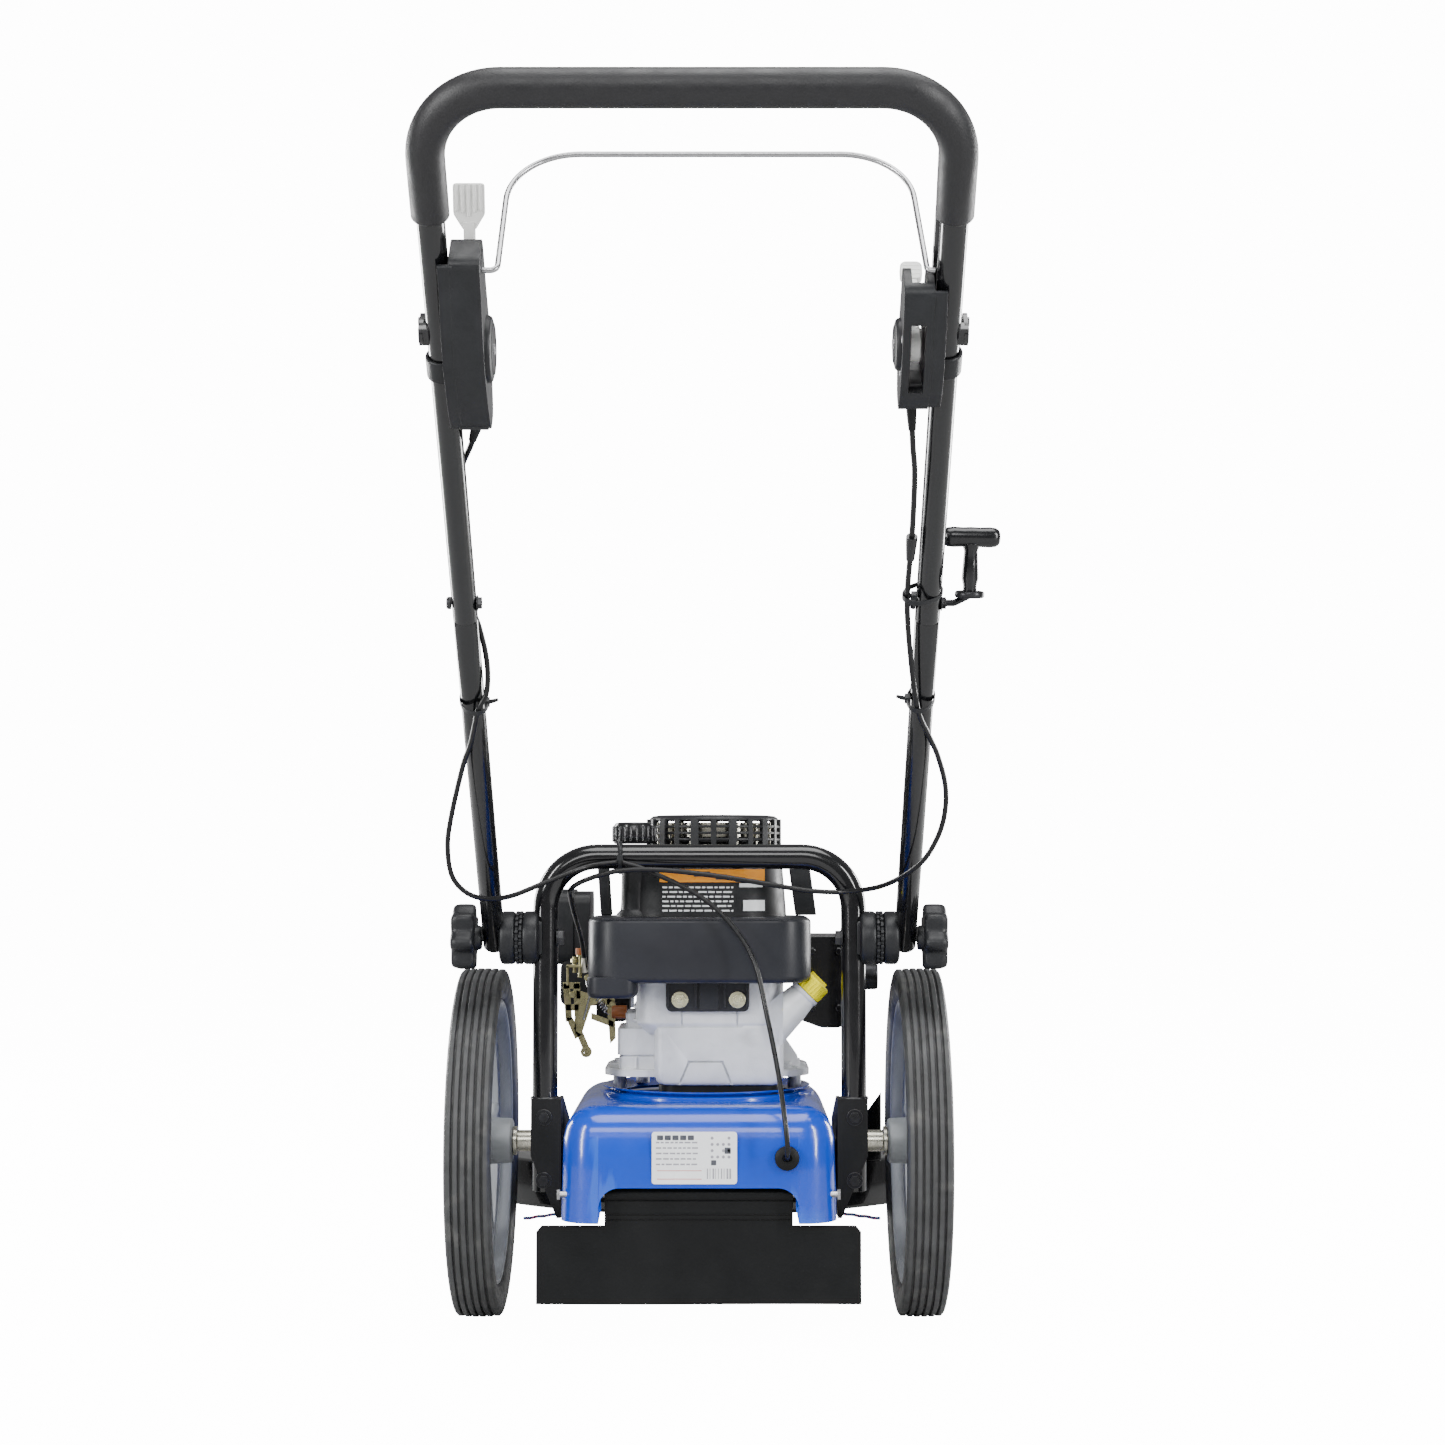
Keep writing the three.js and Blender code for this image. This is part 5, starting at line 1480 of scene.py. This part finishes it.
make_muffler()
make_air_filter()
make_bracket()
make_linkage()


# ---------------------------------------------------------------- cutting head and belt drive
def make_head():
    bm = bmesh.new()
    side = [(10.4, 52), (52, 52), (55, 53), (61, 59), (62, 62), (62, 80), (60.5, 83), (51, 90.4)]
    side += [(30, 97.6), (10.4, 98)]
    turn(bm, side, "z", SPINDLE, 96, closed=True)
    for k, spot in enumerate(spots_round(SPINDLE, 60, 12, 15)):
        if k % 3 != 1:
            turn(bm, [(0, 61), (2, 61), (2, 80), (0, 81)], "z", spot, 16)
    piece("spool_head", bm, PLASTIC, "spindle", CHASSIS, ["trimmer_head"], 0.8)


def make_lines():
    """Four cutting lines, each out through its own eyelet."""
    hub = Vector((*SPINDLE, 70))
    rays = [Vector((x, y, 0)) for x, y in spots_round((0, 0), 1, 4, 45)]
    bm = bmesh.new()
    for ray in rays:
        sweep(bm, [hub + ray * 63.4, hub + ray * 68.6], 4.4, 20)
    piece("line_eyelets", bm, ZINC, "spindle", bevel=0.6)
    bm = bmesh.new()
    start, length, steps = 30, 249.4, 60
    for ray in rays:
        path = []
        for step in range(steps):
            twist = Vector((0, 0, 0.35 * math.sin(step * 1.3)))
            path.append(hub + ray * (start + length * step / (steps - 1)) + twist)
        sweep(bm, path, 1.8, 8)
    piece("trimmer_line", bm, NYLON, "spindle", replaces=["cutting_line"])


def make_ball():
    """The shallow bowl that the head rests and glides on."""
    bm = bmesh.new()
    bowl = [(0, 0), (12, 0)] + [(22 + 2 * k, 7 * (k / 12) ** 2) for k in range(1, 12)]
    bowl += arc((44, 28), 20, -75, 35, 12)
    bowl += [(57, 43), (54, 47), (52, 48), (10.6, 48), (10.6, 17), (0, 17)]
    turn(bm, bowl, "z", SPINDLE, 96)
    for k in range(6):
        part = bmesh.new()
        block(part, (14, 50), (-2, 2), (47.6, 50.4))
        add_moved(bm, part, Matrix.Translation((*SPINDLE, 0)) @ Matrix.Rotation(math.pi * k / 3, 4, "Z"))
    piece("glide_ball", bm, PLASTIC, "mow_ball", replaces=["mow_ball"], bevel=0.6)


make_head()
make_lines()
make_ball()
keep("drive_belt", RUBBER, 0.4)
keep("idler_arm", ZINC, 0.4)
keep("idler_pulley", STEEL, 0.5)
keep("spindle", STEEL, 0.4)
keep("spindle_housing", CASTING, 1.2, 3)


# ---------------------------------------------------------------- handle tubes, grip and fold joint
HANDLE_TUBE = 11
HANDLE_LENGTH = 949
FOOT_X, GRIP_X = 206, 200.6
SPLICE, SPLICE_BOLT = 427, 445
GRIP_END = 838
PIVOT_AT = (-100, 391)


def leg_x(a):
    """How far out each handle leg is, a millimetres up from the pivot."""
    return FOOT_X - (FOOT_X - GRIP_X) * a / HANDLE_LENGTH


def hand_loop(start):
    """The handle's upper loop, from one leg round to the other."""
    x = leg_x(start)
    corners = [(-x, start, 0), (-GRIP_X, HANDLE_LENGTH, 0), (GRIP_X, HANDLE_LENGTH, 0), (x, start, 0)]
    return bent(corners, 60, 20)


def toothed(radius, depth, count, centre=(0, 0)):
    """A circle's outline with square teeth round it."""
    points = []
    for k in range(count * 2):
        reach = radius if k % 2 else radius - depth
        for part in (0, 0.82):
            angle = math.pi * (k + part) / count
            points.append((centre[0] + reach * math.cos(angle), centre[1] + reach * math.sin(angle)))
    return points


def coupler_half(bm, side, near, far, centre):
    """One half of the fold joint: a thick disc with a lip all round."""
    rim = [(0, near), (22, near), (25.5, near + 1.5), (26.6, near + 4), (26.6, far - 4)]
    rim += [(25.5, far - 1.5), (22, far), (0, far)]
    turn(bm, mirrored(rim, side), "x", centre, 64)


def make_couplers(name, side):
    bm = bmesh.new()
    coupler_half(bm, side, 160, 177, PIVOT_AT)
    pull(bm, toothed(26.8, 2.4, 22, PIVOT_AT), *span(side, 176.4, 179.7), "x")
    pull(bm, rounded((-113, -87), (373, 409), 5), *span(side, 157, 164), "x")
    piece(
        f"fold_disc_inner_{name}", bm, PLASTIC, "chassis", replaces=[f"coupler_inner_{name}"],
        bevel=0.8,
    )
    bm = bmesh.new()
    for near, far in ((138, 160), (199, 239.5)):
        rod(bm, "x", 3.9, *span(side, near, far), PIVOT_AT, 32)
    pull(bm, hexagon(8, PIVOT_AT), *span(side, 136, 141.5), "x")
    washer = [(0, 141.4), (9.4, 141.4), (9.4, 143), (0, 143)]
    turn(bm, mirrored(washer, side), "x", PIVOT_AT, 40)
    piece(f"fold_bolt_{name}", bm, DARK_STEEL, "chassis", bevel=0.4)
    bm = bmesh.new()
    coupler_half(bm, side, 183, 199.5, (0, 0))
    pull(bm, toothed(26.8, 2.4, 22), *span(side, 180, 183.4), "x")
    piece(f"fold_disc_outer_{name}", bm, PLASTIC, "handle", HANDLE, bevel=0.8)


def make_knob(name, side):
    """A seven-lobed knob with a sunk middle, on a short neck."""
    bm = bmesh.new()
    lobes, count = 7, 112
    section = []
    for i in range(count):
        angle = 2 * math.pi * i / count
        section.append((30 + 3.8 * math.cos(lobes * angle), angle))
    levels = [(224, -3.0), (225.2, -1.2), (227.5, -0.2), (231, 0), (240, 0), (244, -0.8)]
    levels += [(246.2, -2.6), (247, -5.5)]
    rings = []
    for x, grow in levels:
        ring = [(side * x, (r + grow) * math.cos(t), (r + grow) * math.sin(t)) for r, t in section]
        rings.append([bm.verts.new(p) for p in ring])
    for x, reach in ((247, 14), (245.4, 12.6)):
        ring = [(side * x, u, v) for u, v in spots_round((0, 0), reach, count)]
        rings.append([bm.verts.new(p) for p in ring])
    skin(bm, rings)
    bm.faces.new(rings[-1])
    bm.faces.new(rings[0][::-1])
    neck = [(0, 218), (11, 218), (12, 219), (13, 224.5), (0, 225)]
    turn(bm, mirrored(neck, side), "x")
    body = f"star_knob_{name}"
    piece(f"clamp_knob_{name}", bm, PLASTIC, body, HANDLE, [body], 0.4)


def make_tubes():
    for name, side in SIDES:
        bm = bmesh.new()
        path = [(side * leg_x(a), a, 0) for a in (-12, -10, 100, 250, SPLICE - 1, SPLICE)]
        sweep(bm, path, [9.6, HANDLE_TUBE, HANDLE_TUBE, HANDLE_TUBE, HANDLE_TUBE, 10.4], 40)
        sweep(bm, [(side * leg_x(a), a, 0) for a in (SPLICE - 3, SPLICE + 5)], 9.9, 32)
        node = f"handle_lower_{name}"
        piece(f"leg_tube_{name}", bm, BLACK, "handle", HANDLE, [node])
    bm = bmesh.new()
    sweep(bm, hand_loop(SPLICE + 0.8), HANDLE_TUBE, 40)
    for side in (-1, 1):
        pull(bm, rounded((722, 738), (-23, 8), 7.8), *span(side, 215.5, 219), "x")
        pull(bm, rounded((722, 738), (-6, 6), 2), *span(side, 211, 219), "x")
    piece("hand_loop", bm, BLACK, "handle", HANDLE, ["handle_upper"])
    bm = bmesh.new()
    for side in (-1, 1):
        x = side * leg_x(SPLICE_BOLT)
        dome = [(0, x - 16), (4.6, x - 15.6), (5.6, x - 14), (5.6, x - 11.6), (0, x - 11.6)]
        turn(bm, dome, "x", (SPLICE_BOLT, 0), 32)
        pull(bm, hexagon(5.6, (SPLICE_BOLT, 0)), x + 11.6, x + 15.4, "x")
        turn(bm, [(0, x + 11), (7, x + 11), (7, x + 12), (0, x + 12)], "x", (SPLICE_BOLT, 0), 32)
    piece("splice_bolts", bm, DARK_STEEL, "handle", HANDLE, bevel=0.3)


def make_foam():
    """The foam sleeve. Its ends are rounded down to just over the tube."""
    bm = bmesh.new()
    path = hand_loop(GRIP_END)

    def eased_end(end, inner):
        along = (Vector(inner) - Vector(end)).normalized()
        return [Vector(end) + along * k for k in (0, 0.8, 2.2)]

    path = eased_end(path[0], path[1]) + path[1:-1] + eased_end(path[-1], path[-2])[::-1]
    radii = [12.8, 14.2] + [15.0] * (len(path) - 4) + [14.2, 12.8]
    sweep(bm, path, radii, 48)
    grip = piece("foam_hand_grip", bm, FOAM, "handle", HANDLE, ["foam_grip"])


def make_bails():
    """The thin bail stands up off the grip, and the thick one lies along it."""
    reach = 140
    thrown = math.radians(82)
    corners = []
    for x, out in ((-164.6, 0), (-153, 0), (-149, reach), (173, reach), (183, 0), (189, 0)):
        corners.append((x, 790 + out * math.cos(thrown), -out * math.sin(thrown)))
    bm = bmesh.new()
    sweep(bm, bent(corners, [6, 58, 58, 4], 18), 2.4, 20)
    piece("sprung_wire_bail", bm, STEEL, "wire_bail", HANDLE, ["wire_bail"])

    a, z, low = 730, -16.5, -20.4
    corners = [(-221, a, z), (-210, a, z), (-210, 838, low), (-208, 944, low)]
    corners += [(190, 944, low), (192, 838, low), (192, a, z), (221, a, z)]
    bm = bmesh.new()
    sweep(bm, bent(corners, [5, 20, 55, 55, 20, 5], 14), 4, 24)
    piece("steel_rod_bail", bm, BLACK, "rod_bail", HANDLE, ["rod_bail"])


for name, side in SIDES:
    make_couplers(name, side)
    make_knob(name, side)
make_tubes()
make_foam()
make_bails()


# ---------------------------------------------------------------- controls
def make_housing(name, side, node, hub, disc, width, profile, opening):
    """A lever's housing: a hollow shell, a round boss over the lever's pivot, and a clamp on the tube."""
    near, far = width
    bm = bmesh.new()
    pull(bm, eased(profile, 0.3, 5), *span(side, near, far), "x")
    item = piece(name, bm, PLASTIC, "handle", HANDLE, [node])
    tool = bmesh.new()
    pull(tool, eased(opening, 0.1, 3), *span(side, near + 6.5, far - 6), "x")
    carve(item, tool, HANDLE)
    soften(item, 1.8, 3)

    bm = bmesh.new()
    boss = [(0, near - 5), (disc - 5, near - 5), (disc - 1.4, near - 4), (disc, near - 2)]
    boss += [(disc, near + 2), (0, near + 2)]
    turn(bm, mirrored(boss, side), "x", hub, 72)
    groove = [(disc - 7, near - 5.6), (disc - 6, near - 5.6), (disc - 6, near - 4), (disc - 7, near - 4)]
    turn(bm, mirrored(groove, side), "x", hub, 72, closed=True)
    low, high = hub[0] - 28, hub[0] - 8
    collar = [(HANDLE_TUBE + 0.4, low), (13.2, low), (14, low + 1), (14, high - 1), (13.2, high)]
    collar.append((HANDLE_TUBE + 0.4, high))
    turn(bm, collar, "y", (side * leg_x(hub[0]), 0), 48, closed=True)
    block(bm, span(side, far - 2, 192), (low + 2, high - 2), (-12, 12))
    piece(f"{name}_boss", bm, PLASTIC, "handle", HANDLE, bevel=0.7)

    bm = bmesh.new()
    pin = [(0, near - 6.6), (4, near - 6.6), (5, near - 5.8), (5, near - 4.4), (0, near - 4.4)]
    turn(bm, mirrored(pin, side), "x", hub, 32)
    screw = [(0, near - 0.8), (2.6, near - 0.8), (3.2, near - 0.2), (3.2, near + 1), (0, near + 1)]
    for a in (hub[0] - 16, hub[0] + 16):
        turn(bm, mirrored(screw, side), "x", (a, hub[1] + 16), 24)
    piece(f"{name}_screws", bm, STEEL, "handle", HANDLE, bevel=0.2)


def make_hood(name, side, profile, far):
    """The part of a housing that laps over the underside of the tube."""
    bm = bmesh.new()
    low, high = min(a for a, _ in profile), max(a for a, _ in profile)
    shut = profile + [(high, HANDLE_TUBE + 1.4), (low, HANDLE_TUBE + 1.4)]
    pull(bm, eased(shut, 0.12, 4), *span(side, 186, far), "x")
    piece(name, bm, PLASTIC, "handle", HANDLE, bevel=1.6, steps=3)


def make_ribs(name, side, rows, width, depth):
    """Raised bands round the foot of a housing."""
    bm = bmesh.new()
    for a in rows:
        pull(bm, rounded((a, a + 5), depth, 2, 3), *span(side, *width), "x")
    piece(name, bm, PLASTIC, "handle", HANDLE, bevel=0.8)


ENGAGE_HUB, THROTTLE_HUB = (718, 4), (722, 3)


def make_controls():
    engage = [(648, -4), (648, 20), (676, 30), (718, 36), (752, 30), (782, 18), (808, 16)]
    engage += [(808, -24), (760, -24), (718, -27), (684, -20)]
    opening = [(690, -45), (776, -45), (776, 8), (770, 8), (745, 22), (694, 22)]
    width = (165, 189.4)
    make_housing("engage_control", -1, "engage_housing", ENGAGE_HUB, 27, width, engage, opening)
    lap = [(650, 20), (676, 30), (718, 35.6), (752, 29.6), (782, 18), (804, 16)]
    make_hood("engage_hood", -1, lap, 198)
    make_ribs("engage_ribs", -1, (650, 668, 686), (167, 191), (-3, 22))
    throttle = [(668, -2), (668, 20), (690, 28), (722, 30), (756, 24), (783, 16)]
    throttle += [(783, -20), (745, -22), (715, -24), (685, -16)]
    opening = [(692, -45), (800, -45), (800, 6), (756, 6), (752, 45), (692, 45)]
    width = (165, 189)
    make_housing("throttle_control", 1, "throttle_housing", THROTTLE_HUB, 21, width, throttle, opening)
    lap = [(672, 20), (690, 27.6), (722, 29.6), (756, 23.6), (780, 16)]
    make_hood("throttle_hood", 1, lap, 199)
    make_ribs("throttle_ribs", 1, (674, 690), (167, 190.4), (-1, 20))


def lever_space(hub, degrees):
    """The frame of a lever drawn pointing up the tube from its hub."""
    turn_about = Matrix.Rotation(math.radians(degrees), 4, "X")
    return HANDLE @ Matrix.Translation((0, *hub)) @ turn_about


def make_engage_lever():
    space = lever_space(ENGAGE_HUB, -32)
    mid, half = -177.4, 12.5
    bm = bmesh.new()
    disc = [(0, -5), (16, -5), (17, -4), (17, 4), (16, 5), (0, 5)]
    turn(bm, [(r, mid + x) for r, x in disc], "x")
    pull(bm, [(8, -4), (100, -3.4), (100, 3.4), (8, 4)], mid - 4.6, mid + 4.6, "x")
    piece("engage_lever_arm", bm, PALE, "engage_lever", space, ["engage_lever"], 0.8)
    bm = bmesh.new()
    shape = [(mid - 5, 94), (mid + 5, 94), (mid + half, 106), (mid + half, 130)]
    shape += [(mid - half, 130), (mid - half, 106)]
    pull(bm, eased(shape, 0.12, 4), -2.8, 2.8, "z")
    for k in range(5):
        x = mid - 9.6 + k * 4.8
        foot = 108 - max(4 - abs(k - 2) * 3, 0)
        pull(bm, rounded((x - 1.1, x + 1.1), (foot, 129), 0.9, 3), -4, 4, "z")
    piece("engage_paddle", bm, PALE, "engage_lever", space, bevel=0.6)


def make_throttle_lever():
    space = lever_space(THROTTLE_HUB, -75)
    mid, half = 176.4, 9
    bm = bmesh.new()
    disc = [(0, -4.5), (13.2, -4.5), (14, -3.6), (14, 3.6), (13.2, 4.5), (0, 4.5)]
    turn(bm, [(r, mid + x) for r, x in disc], "x")
    pull(bm, [(6, -3.5), (68, -3), (68, 3), (6, 3.5)], mid - 4.3, mid + 4.3, "x")
    pull(bm, rounded((mid - half, mid + half), (66, 84), 5), -4, 4, "z")
    for k in range(3):
        a = 70 + k * 4.4
        block(bm, (mid - half + 1.4, mid + half - 1.4), (a, a + 1.6), (-4.4, 4.4))
    piece("throttle_thumb_lever", bm, PALE, "throttle_lever", space, ["throttle_lever"], 0.9)


# ---------------------------------------------------------------- recoil starter's handle and rope guide
EYE = Vector((239, 455, 0))
PULL = Vector((0.02, 0.8, -0.6)).normalized()
PULL_TURN = Vector((0, 0, 1)).rotation_difference(PULL).to_matrix().to_4x4()
PULL_SPACE = HANDLE @ Matrix.Translation(EYE) @ PULL_TURN


def make_starter():
    bm = bmesh.new()
    stem = [(0, -2), (5.2, -2), (6, -1), (6, 8), (7.4, 14), (6.6, 28), (6, 38), (8, 44), (0, 50)]
    turn(bm, stem, "z", segments=48)
    half = [(0, 25), (4.6, 25), (6.8, 23.8), (8.4, 21), (9, 16), (8.6, 7), (9, 0)]
    grip = [(r, -x) for r, x in half] + half[-2::-1]
    turn(bm, grip, "x", (0, 50), 48)
    piece("starter_t_grip", bm, GLOSSY, "starter_handle", PULL_SPACE, ["starter_handle"], 0.6)
    bm = bmesh.new()
    ring = [(7.2, -3), (12, -3), (13, -1.4), (13, 1.4), (12, 3), (7.2, 3)]
    turn(bm, ring, "z", segments=64, closed=True)
    piece("guide_eye", bm, DARK_STEEL, "handle", PULL_SPACE, ["rope_guide"], 0.9, slot="bright_steel")
    bm = bmesh.new()
    wire = [(188.6, SPLICE_BOLT, 0), (226, SPLICE_BOLT, 0), (241, SPLICE_BOLT + 2.5, -8)]
    sweep(bm, bent(wire, [6], 8), 3, 24)
    pull(bm, hexagon(5.6, (SPLICE_BOLT, 0)), 215.6, 219, "x")
    piece("guide_stud", bm, DARK_STEEL, "handle", HANDLE, bevel=0.3, slot="bright_steel")


make_controls()
make_engage_lever()
make_throttle_lever()
make_starter()


# ---------------------------------------------------------------- control cables
CABLE = 2.5
TIE_X = -79
ENGAGE_TIE, THROTTLE_TIE, THROTTLE_CLIP = 9, 7, 5
ENGAGE_LOOP = [
    (-178, -576.3, 826.3), (-186, -545.7, 814.8), (-198, -514.7, 796.8), (-202.5, -484.4, 770.6),
    (-203, -447.8, 736.5), (-202, -411.2, 702.4), (-194, -387.3, 676.7), (-188.5, -370.7, 646.2),
    (-190, -357.8, 620.4), (-198, -354, 604), (-207, -325, 577), (-217, -300, 556),
    (-231, -268, 510), (-236, -252, 480), (-232, -236, 451), (-214, -214, 434), (-186, -184, 433),
    (-148, -150, 448), (-112, -124, 462), (TIE_X, -119, 467),
]
ENGAGE_LOWER = [
    (TIE_X, -119, 467), (-51, -121, 458), (-3, -126, 435), (29, -132, 408), (54, -140, 369),
    (67, -158, 314), (77, -190, 262), (82, -211, 225), (84.6, -216, 201), (85, -208, 187),
    (85, -192, 183), (85, -165, 182), (92, -110, 180), (102, -40, 176), (103, 30, 172),
]
THROTTLE_LOOP = [
    (176.4, -593.7, 839), (177.6, -583.5, 828), (180, -564, 809), (183, -542, 788), (184.5, -490, 745),
    (184, -440, 698), (189, -402, 655), (199, -358, 606), (211, -328, 584), (221, -308, 566),
    (230, -284, 541), (232, -266, 518), (228, -248, 495), (217, -228, 472), (203, -210, 458),
    (188, -184, 448), (170, -154, 441), (140, -128, 437), (112, -126, 438), (90, -124, 441),
]
THROTTLE_LOWER = [
    (90, -124, 441), (49, -126, 448), (9, -127.5, 454), (-40, -127.5, 459), (TIE_X, -126.5, 458),
    (-110, -124, 450), (-128, -112, 440), (-130, -80, 428), (-128, -40, 410), (-125, 10, 388),
    (-123, 34, 366), (-122, 37, 350),
]


def make_cable(name, node, points):
    """A sheathed cable through its whole route."""
    bm = bmesh.new()
    sweep(bm, smooth_path(points, 10), CABLE, 16)
    return shaped(name, bm, JACKET, CHASSIS, [node])


def make_slack(name, node, points):
    """A sheathed cable from the handle's control to its tie, with its placing baked into the mesh."""
    item = make_cable(name, node, points)
    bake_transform(item)


def make_sleeve(bm, points, length, radius):
    """A boot over a cable's end, thinner at its far end."""
    start, ahead = Vector(points[0]), Vector(points[1])
    along = (ahead - start).normalized()
    path = [start + along * k * length / 6 for k in range(7)]
    radii = [radius * share for share in (1, 1, 0.96, 0.9, 0.84, 0.78, 0.72)]
    sweep(bm, path, radii, 24)


def make_cables():
    make_slack("engage_cable_slack", "engage_cable_loop", ENGAGE_LOOP)
    make_slack("throttle_cable_slack", "throttle_cable_loop", THROTTLE_LOOP)
    for name, points in (("engage", ENGAGE_LOWER), ("throttle", THROTTLE_LOWER)):
        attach(make_cable(f"{name}_cable_run", f"{name}_cable_lower", points), "chassis")
    bm = bmesh.new()
    make_sleeve(bm, ENGAGE_LOOP, 26, 4.6)
    make_sleeve(bm, THROTTLE_LOOP, 24, 4.4)
    piece("cable_boots", bm, RUBBER, "handle", bevel=0.4)
    bm = bmesh.new()
    make_sleeve(bm, THROTTLE_LOOP[4:], 26, 5)
    piece("cable_adjuster", bm, GLOSSY, "handle", bevel=0.4, slot="rubber")
    bm = bmesh.new()
    make_sleeve(bm, THROTTLE_LOWER[::-1], 16, 3.6)
    piece("throttle_cable_end", bm, ZINC, "chassis", bevel=0.4)


def strap(bm, centre, along, across, reach, width=3.6):
    """A cable tie's flat band round two round things side by side."""
    along = Vector(along).normalized()
    across = Vector(across).normalized()
    other = along.cross(across).normalized()
    centre = Vector(centre)
    count = 48
    loops = []
    for offset in (-width / 2, width / 2):
        for grow in (0, 1.1):
            ring = []
            for k in range(count):
                angle = 2 * math.pi * k / count
                wide = across * (reach[0] + grow) * math.cos(angle)
                deep = other * (reach[1] + grow) * math.sin(angle)
                ring.append(bm.verts.new(centre + wide + deep + along * offset))
            loops.append(ring)
    skin(bm, [loops[k] for k in (0, 1, 3, 2, 0)])


def make_ties():
    bm = bmesh.new()
    strap(bm, (TIE_X, -104, 471), (1, 0, 0), (0, 1, 0.1), (19.5, 15.5))
    block(bm, (TIE_X - 3, TIE_X + 3), (-125.6, -121), (468, 474))
    sweep(bm, [(TIE_X, -124, 474), (TIE_X - 1, -126, 482), (TIE_X - 3, -126, 489)], [1.6, 1.5, 1.3], 8)
    piece("hoop_tie", bm, PLASTIC, "chassis", bevel=0.3)
    bm = bmesh.new()
    held = [(-1, ENGAGE_LOOP, ENGAGE_TIE)]
    held += [(1, THROTTLE_LOOP, tie) for tie in (THROTTLE_TIE, THROTTLE_CLIP)]
    for side, points, tie in held:
        cable = HANDLE.inverted() @ (CHASSIS @ Vector(points[tie]))
        tube = Vector((side * leg_x(cable.y), cable.y, 0))
        gap = cable - tube
        reach = gap.normalized()
        centre = tube + reach * (gap.length + CABLE - HANDLE_TUBE) / 2
        strap(bm, centre, (0, 1, 0), gap, ((gap.length + CABLE + HANDLE_TUBE) / 2 + 0.6, 11.8), 5)
        lock = tube - Vector((side * (HANDLE_TUBE + 2.6), 0, -6))
        block(bm, (lock.x - 2.4, lock.x + 2.4), (lock.y - 3.6, lock.y + 3.6), (lock.z - 3, lock.z + 3))
        tail = [lock, lock - Vector((side * 5, -1, 0)), lock - Vector((side * 10, -3, 0))]
        sweep(bm, tail, [2.2, 2.0, 1.6], 8)
    piece("leg_ties", bm, PLASTIC, "handle", HANDLE, bevel=0.2)


make_cables()
make_ties()
